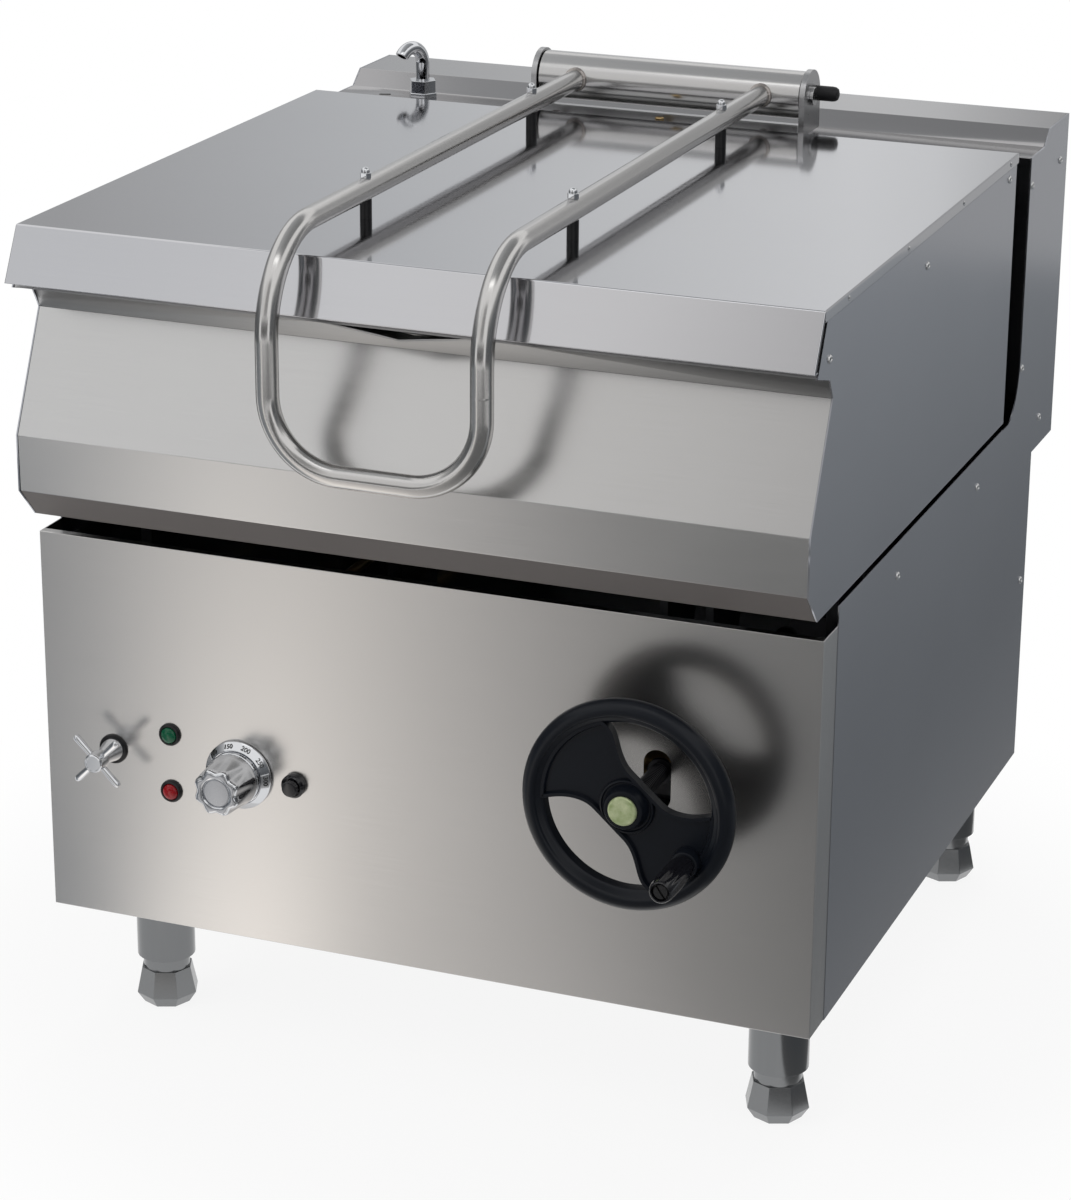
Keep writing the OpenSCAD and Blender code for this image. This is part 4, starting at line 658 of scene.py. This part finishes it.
def turned_piece(name, material, node, place, outline, segments=48, closed=False, **more):
    """A piece that is turned on the lathe and then set at its place."""
    bm = moved(lathe(outline, segments, closed), place)
    return piece_from(bm, name, material, node, **more)


def joined(parts):
    """Several bmeshes as one."""
    whole = bmesh.new()
    for part in parts:
        step = bpy.data.meshes.new("step")
        part.to_mesh(step)
        part.free()
        whole.from_mesh(step)
        bpy.data.meshes.remove(step)
    return whole


def at(x, depth, z):
    """A place in metres from millimetres: across, behind the panel's face, and up."""
    return Matrix.Translation((x * MM, panel_y + depth * MM, z * MM))


def facing_front(x, z, depth=0):
    """Lays an upright shape down so that its top faces the front."""
    return at(x, depth, z) @ spun(90, "X")


print("lathe ready")

# %% [markdown]
# The handwheel is moulded in one piece: a thick rim with a ridge inside its front edge, a web that
# is narrow at the hub and flares into the rim, and a hub with a ring groove. The web starts as a
# flat grid that is pulled into shape, gets its thickness by an extrude, and its sunk face by an
# inset.

# %% Handwheel
rim = lathe([
    (81, -7), (81, 2.4), (81.8, 4.2), (84.6, 6.2), (87.6, 7.6), (88.2, 8.6), (89.4, 10.2),
    (91.6, 11), (95, 10.7), (98.4, 9), (101.2, 6), (102.7, 2.4), (103, -1), (101.8, -5),
    (98.5, -9.3), (93, -11), (87, -10.6), (83, -9.2)], 96, closed=True)
hub = lathe([
    (0, -15), (17, -15), (20, -12), (24, -7), (26.5, -3), (26.8, 3), (25.8, 5.6), (24.4, 6),
    (23.2, 4.6), (21.8, 4.6), (20.6, 7), (19.6, 12.6), (18.2, 14.6), (16.4, 15), (15.2, 14.6),
    (0, 14.6)], 64)
web_reach, web_half, web_flare, web_sway = 84, 26, 25, 8
web_straight, web_back, web_thickness, web_turn = 0.25, -4, 10, -42
web_border, web_slope, web_sunk = 3.2, 1.4, 3.6
web = bmesh.new()
bmesh.ops.create_grid(web, x_segments=36, y_segments=10, size=1)
for vert in web.verts:
    along, across = vert.co.x, vert.co.y
    part = min(1, max(0, (abs(along) - web_straight) / (1 - web_straight)))
    flare = part * part * (3 - 2 * part)
    side = across * (web_half + web_flare * flare) + web_sway * along ** 3
    vert.co = (along * math.sqrt(web_reach ** 2 - side ** 2) * MM, side * MM, web_back * MM)
thickened(web, web_thickness * MM)
front_faces = [face for face in web.faces if face.normal.z > 0.9]
for inset in (web_border, web_slope):
    bmesh.ops.inset_region(web, faces=front_faces, thickness=inset * MM, use_even_offset=True)
sunk = {vert for face in front_faces for vert in face.verts}
bmesh.ops.translate(web, vec=(0, 0, -web_sunk * MM), verts=list(sunk))
moved(web, spun(web_turn, "Z"))
boss_place = Matrix.Translation((59.1 * MM, -44.5 * MM, 0))
boss = lathe([
    (0, -5), (13, -5), (14, -3.5), (14, 6), (13.2, 10), (12.4, 13), (10.5, 14), (0, 14)], 40)
moved(boss, boss_place)
wheel_place = facing_front(243.5, 390, -78)
wheel_parts = moved(joined([rim, hub, web, boss]), wheel_place)
wheel = piece_from(wheel_parts, "handwheel_moulded", "wheel_plastic", "handwheel", angle=40)
turned_piece("hub_cap_pressed", "yellow_zinc", "hub_cap", wheel_place, [
    (0, 14.4), (13.4, 14.4), (14, 15), (14, 16.6), (13.2, 17.7), (12, 18), (1.2, 17.7),
    (0.8, 17.2), (0, 17.2)])
print("handwheel faces", len(wheel.data.polygons))

# %% [markdown]
# The grip spins on its bolt. It is a glossy turned handle with shallow flutes for the fingers, and
# its end is sunk round the slotted head of the bolt. For the flutes, points of the skin are drawn
# in by a cosine round the axis. The bolt's head is two halves, each cut off beside the slot.

# %% Grip of the handwheel
grip_low, grip_high, grip_bore = 14.4, 78, 4.4
grip = lathe([
    (grip_bore, grip_low), (9.5, grip_low), (10.6, 15.2), (11.2, 18), (11.9, 24), (12.4, 33),
    (12.5, 42), (12.4, 52), (12.2, 60), (11.9, 67), (11.5, 72), (10.9, 75.6), (10.2, 77.4),
    (9.4, grip_high), (8.6, 77.4), (8.3, 76), (8.2, 72.6), (grip_bore, 72.6)], 72, closed=True)
flutes, flute_depth, skin = 9, 0.045, 9
flute_low, flute_high, fade_low, fade_high = 20, 75, 8, 4
for vert in grip.verts:
    height = vert.co.z / MM
    around = math.atan2(vert.co.y, vert.co.x)
    if flute_low < height < flute_high and vert.co.xy.length > skin * MM:
        fade_in = min(1, (height - flute_low) / fade_low, (flute_high - height) / fade_high)
        drawn_in(vert, 1 - flute_depth * fade_in * max(0, math.cos(flutes * around)) ** 2)
grip_place = wheel_place @ boss_place
piece_from(moved(grip, grip_place), "wheel_grip_turned", "grip_plastic", "wheel_grip")
bolt_parts = [lathe([(0, -9), (4, -9), (4, 72), (7.2, 72), (7.2, 73.6), (0, 73.6)], 32)]
slot_half, slot_turn, bolt_top = 0.9, 35, 76
half_outline = [(0, 73.4), (7.2, 73.4), (7.2, bolt_top - 0.6), (6.6, bolt_top), (0, bolt_top)]
for side in (-1, 1):
    half_head = lathe(half_outline, 32)
    cut = bmesh.ops.bisect_plane(
        half_head, geom=half_head.verts[:] + half_head.edges[:] + half_head.faces[:],
        plane_co=(side * slot_half * MM, 0, 0), plane_no=(side, 0, 0), clear_inner=True)
    rim_edges = [part for part in cut["geom_cut"] if isinstance(part, bmesh.types.BMEdge)]
    bmesh.ops.edgeloop_fill(half_head, edges=rim_edges)
    bmesh.ops.recalc_face_normals(half_head, faces=half_head.faces)
    bolt_parts.append(moved(half_head, spun(slot_turn, "Z")))
piece_from(moved(joined(bolt_parts), grip_place), "grip_bolt_slotted", "bolt_black", "grip_bolt")
print("grip length", grip_high - grip_low, "mm")

# %% [markdown]
# The fill valve on the left has a cross handle: four round arms in an X on a hub with a flat disc.
# Its neck is a cone of chromed brass that stands on a black ring.

# %% Valve
valve_place = facing_front(-326, 326)
valve = [lathe([
    (0, 2), (4, 2), (4, 24.4), (7.6, 24.6), (9.2, 27), (10, 30), (10, 41.5), (9.4, 43.6),
    (8.4, 44.5), (7.2, 44.5), (6.9, 43.9), (0, 43.9)], 40)]
arm_outline = [
    (0, 6), (3.3, 7), (3.0, 11), (3.5, 24), (3.6, 29), (3.3, 31.4), (2.3, 32.7), (0, 33)]
arm_turns, arm_height = (45, 135, 225, 315), 35
for degrees in arm_turns:
    laid = Matrix.Translation((0, 0, arm_height * MM)) @ spun(degrees, "Z") @ spun(90, "Y")
    valve.append(moved(lathe(arm_outline, 24), laid))
piece_from(moved(joined(valve), valve_place), "valve_cross", "chrome", "valve_handle")
turned_piece("valve_neck", "chrome", "valve_body", valve_place, [
    (0, -50), (9, -50), (9, -30), (14, -30), (14, -6), (9, -6), (9, 0), (12.4, 0.4), (12.2, 4),
    (10.6, 9), (8.6, 17), (7.4, 23), (6.6, 24), (4.4, 24), (4.4, 10), (0, 10)], 40)
turned_piece("valve_ring", "black_plastic", "valve_body", valve_place, [
    (11.6, 0), (15.2, 0), (15.2, 1.6), (14.4, 2.8), (12.8, 3.1), (11.8, 2.6)],
    40, closed=True, replaces=False)
print("valve arms", len(arm_turns))

# %% [markdown]
# The thermostat's knob is chromed plastic with eight hollows that start as points near the dial and
# widen to the front, so that wet fingers hold it. It is turned with many segments, and the points
# inside a hollow are drawn in by a cosine. The faces that look forward are satin grey.

# %% Thermostat knob
knob_place = facing_front(-188, 321)
knob = lathe([
    (0, 15), (25.6, 16), (26.8, 17), (27, 19.5), (26.4, 23), (25.9, 26), (25.6, 29),
    (25.4, 32), (25.3, 35), (25.2, 38), (25.2, 41), (25.1, 44), (25, 47), (24.7, 49.6),
    (24, 51.8), (22.8, 53.2), (21, 53.9), (18.4, 54), (16, 53.7), (14.8, 53), (14.2, 51.4),
    (0, 51.4)], 128)
hollows, hollow_depth, hollow_start, hollow_length = 8, 3.3, 24, 24
point_share, flat_radius, flat_fade = 0.3, 15, 7
step = TURN / hollows
for vert in knob.verts:
    radius = vert.co.xy.length / MM
    opening = min(1, max(0, (vert.co.z / MM - hollow_start) / hollow_length))
    if opening > 0 and radius > flat_radius:
        off = abs((math.atan2(vert.co.y, vert.co.x) + step / 2) % step - step / 2)
        width = step * 0.5 * (point_share + (1 - point_share) * opening)
        dip = max(0, math.cos(min(1, off / width) * math.pi / 2)) ** 2
        depth = hollow_depth * opening ** 0.8 * dip * min(1, (radius - flat_radius) / flat_fade)
        drawn_in(vert, 1 - depth / radius)
moved(knob, knob_place)
knob_mesh = piece_from(
    knob, "thermostat_knob_lobed", "chrome", "thermostat_knob", angle=30).data
knob_mesh.materials.append(finishes["disc_grey"])
knob_front = panel_y - 50 * MM
for face in knob_mesh.polygons:
    if face.normal.y < -0.93 and face.center.y < knob_front:
        face.material_index = 1
turned_piece("knob_disc", "disc_grey", "thermostat_knob", knob_place, [
    (0, 52.2), (12.4, 52.1), (13.6, 51.8), (13.9, 51.2), (0, 51.2)], 64, replaces=False)
print("knob hollows", hollows)

# %% [markdown]
# The dial behind the knob is a cone with plain numbers for the temperature. Each number starts as
# text, becomes a mesh, is raised a little, and is tilted to lie on the cone.

# %% Dial with its numbers
cone_foot, cone_top = (34.4, 4.8), (28.4, 10.6)
turned_piece("knob_dial_coned", "chrome", "knob_dial", knob_place, [
    (0, 1), (34.2, 1), (35, 1.8), (35, 4), cone_foot, cone_top, (28, 10.2), (27.7, 9.2),
    (27.3, 9.2), (27.2, 15.4), (26.6, 16), (0, 16)], 96)
cone_slope = math.degrees(math.atan2(cone_top[1] - cone_foot[1], cone_foot[0] - cone_top[0]))
number_ring, number_height, number_size, number_bold, number_raised = 31.45, 7.78, 6.6, 0.12, 0.25
first_turn, turn_step, temperature_step = 210, 35, 50
for count, degrees in enumerate(range(first_turn, -1, -turn_step)):
    temperature = count * temperature_step
    text = bpy.data.curves.new("number", "FONT")
    text.body = str(temperature)
    text.size = number_size * MM
    text.align_x = text.align_y = "CENTER"
    text.offset = number_bold * MM
    holder = bpy.data.objects.new("number", text)
    scene.collection.objects.link(holder)
    bpy.context.view_layer.update()
    flat = bpy.data.meshes.new_from_object(holder)
    bpy.data.objects.remove(holder)
    number = bmesh.new()
    number.from_mesh(flat)
    thickened(number, number_raised * MM)
    tilt = spun(-cone_slope, "X")
    out = spun(degrees - 90, "Z") @ Matrix.Translation((0, number_ring * MM, number_height * MM))
    moved(number, knob_place @ out @ tilt)
    piece_from(number, "dial_number_%d" % temperature, "number_ink", "knob_dial", replaces=False)
print("dial numbers", count + 1)

# %% [markdown]
# Two signal lamps and a push button stand beside the knob. A lamp is a black bezel with a domed
# lens that is dark when it is off. The button is a ribbed black cap in a ribbed collar.

# %% Lamps and push button
bezel_outline = [
    (0, -26), (6, -26), (6, -1), (10.4, -1), (10.4, 0), (11.5, 0), (11.5, 1.8), (10.9, 3.2),
    (9.9, 4), (9, 4), (8.2, 3.4), (7.6, 2.4), (0, 2.4)]
lens_outline = [
    (0, 1), (8, 1), (8.1, 3.2), (7.9, 4.4), (7, 5.4), (5.4, 6.3), (3.4, 6.9), (1.6, 7.1),
    (0, 7.2)]
bezels = []
for height, lens_node in ((351, "green_lens"), (291, "red_lens")):
    lamp_place = facing_front(-263, height)
    bezels.append(moved(lathe(bezel_outline), lamp_place))
    turned_piece(
        lens_node + "_domed", lens_node, lens_node, lamp_place, lens_outline, angle=60)
piece_from(joined(bezels), "lamp_bezels_turned", "black_plastic", "lamp_bezels")
button_place = facing_front(-129, 319)
turned_piece("button_collar", "grip_plastic", "button_housing", button_place, [
    (0, -29), (8, -29), (8, 0), (12, 0), (12, 2.2), (11.2, 2.8), (11.2, 3.4), (12, 4),
    (12, 5.4), (11, 6.8), (10.2, 7.8), (9.4, 8), (9, 7.4), (9, 4), (0, 4)], 60)
button = lathe([
    (0, -14), (7, -14), (7, 4.4), (8.2, 4.6), (8.2, 9), (7.6, 9.5), (7.6, 10.1), (8.2, 10.6),
    (8.2, 12), (7.6, 13.3), (6.4, 14), (0, 13.8)], 60)
ribs, rib_depth, rib_low, rib_high, rib_radius = 15, 0.035, 4, 13, 7.3
for vert in button.verts:
    if rib_low < vert.co.z / MM < rib_high and vert.co.xy.length > rib_radius * MM:
        wave = math.cos(ribs * math.atan2(vert.co.y, vert.co.x))
        drawn_in(vert, 1 - rib_depth + rib_depth * wave)
piece_from(moved(button, button_place), "push_button_ribbed", "grip_plastic", "push_button")
print("lamps", len(bezels))

# %% [markdown]
# The lid's handle and the tap's swan neck are bent tubes. They are made as on a pipe bender: a ring
# is pushed along straight lengths and swung round the centre of each bend.

# %% A tube bender


def rounded_tube(place, radius, moves):
    """Pushes a ring along straight lengths and round bends, given in millimetres and degrees."""
    least_steps, degrees_per_step = 8, 5
    bm = bmesh.new()
    bmesh.ops.create_circle(bm, cap_ends=False, radius=radius * MM, segments=40)
    moved(bm, place)
    first = edges = bm.edges[:]
    for kind, way, size in moves:
        if kind == "push":
            out = bmesh.ops.extrude_edge_only(bm, edges=edges)["geom"]
            fresh = {part for part in out if isinstance(part, bmesh.types.BMVert)}
            bmesh.ops.translate(bm, vec=Vector(way) * size * MM, verts=list(fresh))
            edges = [part for part in out if isinstance(part, bmesh.types.BMEdge)
                     and part.verts[0] in fresh and part.verts[1] in fresh]
        else:
            centre = Vector((way[0] * MM, panel_y + way[1] * MM, way[2] * MM))
            steps = max(least_steps, round(abs(size) / degrees_per_step))
            verts = list({vert for edge in edges for vert in edge.verts})
            out = bmesh.ops.spin(
                bm, geom=verts + edges, cent=centre, axis=kind, dvec=(0, 0, 0), steps=steps,
                angle=math.radians(size), use_merge=False, use_duplicate=False)["geom_last"]
            edges = [part for part in out if isinstance(part, bmesh.types.BMEdge)]
    bmesh.ops.recalc_face_normals(bm, faces=bm.faces)
    return bm, first, edges


def capped(bm, edges):
    """Closes an open ring with one face."""
    return bmesh.ops.edgeloop_fill(bm, edges=edges)["faces"]


print("bender ready")

# %% [markdown]
# The lid's handle is one long tube. It runs forward from the hinge, bends down over the lid's front
# edge and closes in a wide loop. A small raised seam on its right leg shows where it was joined.

# %% Lid handle
x_way, y_way = (1, 0, 0), (0, 1, 0)
handle_radius, arm_x, arm_z = 10.8, 105, 884
arm_back, bend_depth, bend_z = 682, 1, 791
front_depth, foot_z, foot_x, foot_radius = -92, 742, 35, 70
handle_start = at(-arm_x, arm_back, arm_z) @ spun(90, "X")
handle, back_ring, other_ring = rounded_tube(handle_start, handle_radius, [
    ("push", (0, -1, 0), arm_back - bend_depth),
    (x_way, (-arm_x, bend_depth, bend_z), 90),
    ("push", (0, 0, -1), bend_z - foot_z),
    (y_way, (-foot_x, front_depth, foot_z), -90),
    ("push", (1, 0, 0), 2 * foot_x),
    (y_way, (foot_x, front_depth, foot_z), -90),
    ("push", (0, 0, 1), bend_z - foot_z),
    (x_way, (arm_x, bend_depth, bend_z), -90),
    ("push", (0, 1, 0), arm_back - bend_depth)])
capped(handle, back_ring)
capped(handle, other_ring)
bmesh.ops.recalc_face_normals(handle, faces=handle.faces)
piece_from(handle, "lid_handle_bent", "tube_steel", "lid_handle", angle=50)
seam_z = 764
turned_piece("handle_seam", "tube_steel", "lid_handle", at(arm_x, front_depth, seam_z), [
    (10.4, -1.2), (10.85, -0.8), (11.0, 0), (10.85, 0.8), (10.4, 1.2)],
    40, closed=True, replaces=False)
print("handle from", front_depth - foot_radius, "to", arm_back, "mm behind the panel")

# %% [markdown]
# The hinge is a thick tube between two end plates. The handle's arms are welded to it, and each
# weld is a bead that follows the round of the tube, so its ring is pushed back by the tube's own
# curve.

# %% Hinge tube and welds
hinge_radius, hinge_half, hinge_depth, hinge_z = 25.5, 148, 705, 883
bore_radius, broken, inner_half = 21.4, 0.6, hinge_half - 0.6
hinge_place = at(0, hinge_depth, hinge_z) @ spun(90, "Y")
turned_piece("hinge_tube_turned", "hinge_steel", "hinge_tube", hinge_place, [
    (hinge_radius - broken, -hinge_half), (hinge_radius, -inner_half), (hinge_radius, inner_half),
    (hinge_radius - broken, hinge_half), (bore_radius + broken, hinge_half),
    (bore_radius, inner_half), (bore_radius, -inner_half), (bore_radius + broken, -hinge_half)],
    96, closed=True)
bead_outline = [(10.4, -1.6), (12.0, -1.0), (12.9, 0.6), (12.4, 1.9), (10.4, 2.6)]
ripples, ripple_height = 23, 0.25
welds = []
for side in (-1, 1):
    bead = lathe(bead_outline, 64, closed=True)
    for vert in bead.verts:
        up = vert.co.y / MM + arm_z - hinge_z
        sink = hinge_radius - math.sqrt(hinge_radius ** 2 - up ** 2)
        ripple = ripple_height * math.sin(ripples * math.atan2(vert.co.y, vert.co.x))
        vert.co.z -= (sink + ripple) * MM
    welds.append(moved(bead, facing_front(side * arm_x, arm_z, hinge_depth - hinge_radius)))
piece_from(joined(welds), "hinge_welds", "weld_bead", "hinge_tube", replaces=False)
print("welds", len(welds))

# %% [markdown]
# A row of bolts holds the hinge's foot bar. The outer two are dark steel and the middle one is
# taller and of brass. A black rubber bar at the right end plate stops the lid when it is open.

# %% Hinge bolts and buffer
bolt_depth, bolt_z, bolt_x = 658, 848.7, 118


def hinge_bolt(x, head):
    """A six-sided bolt in the foot bar, with a head of the given height."""
    bolt = lathe([
        (0, -7.5), (2.4, -7.5), (2.4, 0), (5.15, 0), (5.2, 0.4), (5.2, head - 1), (4.6, head),
        (0, head)], 6)
    ease(bolt, corner_edges(bolt, 40), 0.3 * MM)
    return moved(bolt, at(x, bolt_depth, bolt_z))


bolts = [hinge_bolt(x, 4.8) for x in (-bolt_x, bolt_x)]
piece_from(joined(bolts), "hinge_bolts_dark", "bolt_steel", "hinge_bolts", angle=25)
piece_from(
    hinge_bolt(0, 8), "hinge_bolt_brass", "brass", "hinge_bolts", replaces=False, angle=25)
buffer_place = at(0, 723.2, hinge_z) @ spun(90, "Y")
turned_piece("hinge_buffer_round", "rubber", "hinge_buffer", buffer_place, [
    (0, 155.2), (7.4, 155.2), (8, 156), (8, 172.4), (7.5, 175.6), (6, 178), (3.6, 179),
    (0, 179.2)], 40)
print("bolts", len(bolts) + 1)

# %% [markdown]
# The tap's spout is a thick tube with an open end. Its wall is made by an inset of the end face,
# and an extrude of the middle goes back into the tube. Two hexagon nuts hold it.

# %% Tap
spout_x, spout_depth, spout_low, spout_bend_z = -304.5, 726, 845.7, 878.5
spout_radius, spout_bend, spout_sweep, spout_turn = 7.5, 18.5, 142, 20
mouth_break, mouth_proud, mouth_wall, bore_depth = 0.5, 0.4, 1.6, 9
heading = math.radians(spout_turn)
out_way = Vector((-math.sin(heading), -math.cos(heading), 0))
bend_centre = (spout_x + out_way.x * spout_bend, spout_depth + out_way.y * spout_bend, spout_bend_z)
bend_axis = Vector((0, 0, 1)).cross(out_way)
spout, low_ring, mouth = rounded_tube(at(spout_x, spout_depth, spout_low), spout_radius, [
    ("push", (0, 0, 1), spout_bend_z - spout_low), (bend_axis, bend_centre, spout_sweep)])
capped(spout, low_ring)
mouth_face = capped(spout, mouth)
bmesh.ops.recalc_face_normals(spout, faces=spout.faces)
bmesh.ops.inset_region(spout, faces=mouth_face, thickness=mouth_break * MM, use_even_offset=True)
proud = mouth_face[0].normal * mouth_proud * MM
bmesh.ops.translate(spout, vec=proud, verts=mouth_face[0].verts[:])
bmesh.ops.inset_region(spout, faces=mouth_face, thickness=mouth_wall * MM, use_even_offset=True)
inward = mouth_face[0].normal * -bore_depth * MM
bore = bmesh.ops.extrude_discrete_faces(spout, faces=mouth_face)["faces"]
bmesh.ops.translate(spout, vec=inward, verts=bore[0].verts[:])
piece_from(spout, "tap_spout_bent", "chrome", "tap_spout", angle=50)
dressed("tap_nuts", "chrome", 0.8 * MM, 40)
dressed("dome_nuts", "chrome")
print("spout bent by", spout_sweep, "degrees")

# %% [markdown]
# The small domed screws on the sides are all alike, so one outline is turned at each place. Four
# rivets on each side hold the lid's hem.

# %% Screws and rivets


def fasteners(name, node, x, places, outline, replaces=True):
    """One turned fastener at each place on both sides, its top facing out."""
    parts = []
    for side in (-1, 1):
        for depth, z in places:
            parts.append(moved(lathe(outline, 24), at(side * x, depth, z) @ spun(90 * side, "Y")))
    piece_from(joined(parts), name, "bright_steel", node, replaces)


screw = [
    (0, -6), (1.9, -6), (1.9, -0.2), (4.2, -0.2), (4.2, 0.5), (3.7, 1.4), (2.8, 1.9), (1.9, 2),
    (1.5, 1.2), (0, 1)]
rivet = [(0, -0.5), (2.6, -0.5), (2.6, 0.1), (2.1, 0.7), (1.2, 1.0), (0, 1.1)]
panel_places = [(236.2, 529.2), (528.8, 530.1), (742.2, 358.7), (697.2, 810.7), (819.1, 812.0),
                (787.0, 533.1), (696.1, 612.5)]
cover_places = [(-4.5, 808), (307.7, 817.1), (612.8, 834.8)]
rivet_places = [(depth, 850.6) for depth in (46, 236, 430, 612)]
fasteners("panel_screws_domed", "panel_screws", 400, panel_places, screw)
fasteners("cover_screws_domed", "cover_screws", 396.5, cover_places, screw)
fasteners("lid_rivets", "lid_shell", 397.5, rivet_places, rivet, replaces=False)
print("screws", 2 * len(panel_places + cover_places), "rivets", 2 * len(rivet_places))

# %% [markdown]
# A small dark patch lies on the column's ledge beside the tap. It is a thin plate with round
# corners, set a little askew, so it starts as a cube that is scaled flat before its upright edges
# are rounded.

# %% The mark on the ledge
mark_long, mark_wide, mark_thick, mark_corner, mark_turn = 13, 5, 0.4, 2, 20
mark = bmesh.new()
bmesh.ops.create_cube(mark, size=1)
flattened = Matrix.Diagonal((mark_long * MM, mark_wide * MM, mark_thick * MM, 1))
moved(mark, at(-346, 716, 841.1) @ spun(mark_turn, "Z") @ flattened)
corners = [edge for edge in mark.edges
           if abs(edge.verts[0].co.z - edge.verts[1].co.z) > mark_thick / 2 * MM]
ease(mark, corners, mark_corner * MM, 4)
piece_from(mark, "ledge_mark", "dark_mark", "column_cover", replaces=False)
print("mark corners", len(corners))

# %% [markdown]
# Each foot is an octagonal casting that screws up and down in its leg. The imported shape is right,
# and a wide bevel takes the hardness off its eight corners.

# %% Feet
feet = {"foot_steel": "foot_front_left foot_front_right foot_back_left foot_back_right"}
print("feet", dress_all(feet, radius=1.1 * MM, least=20, convex=True))

# %% [markdown]
# At the end, no imported piece should still show, and the ones that still do are printed.

# %% Close the frame
left_over = sorted(node for node in nodes if not nodes[node].hide_render)
print("packed nodes still shown", left_over)
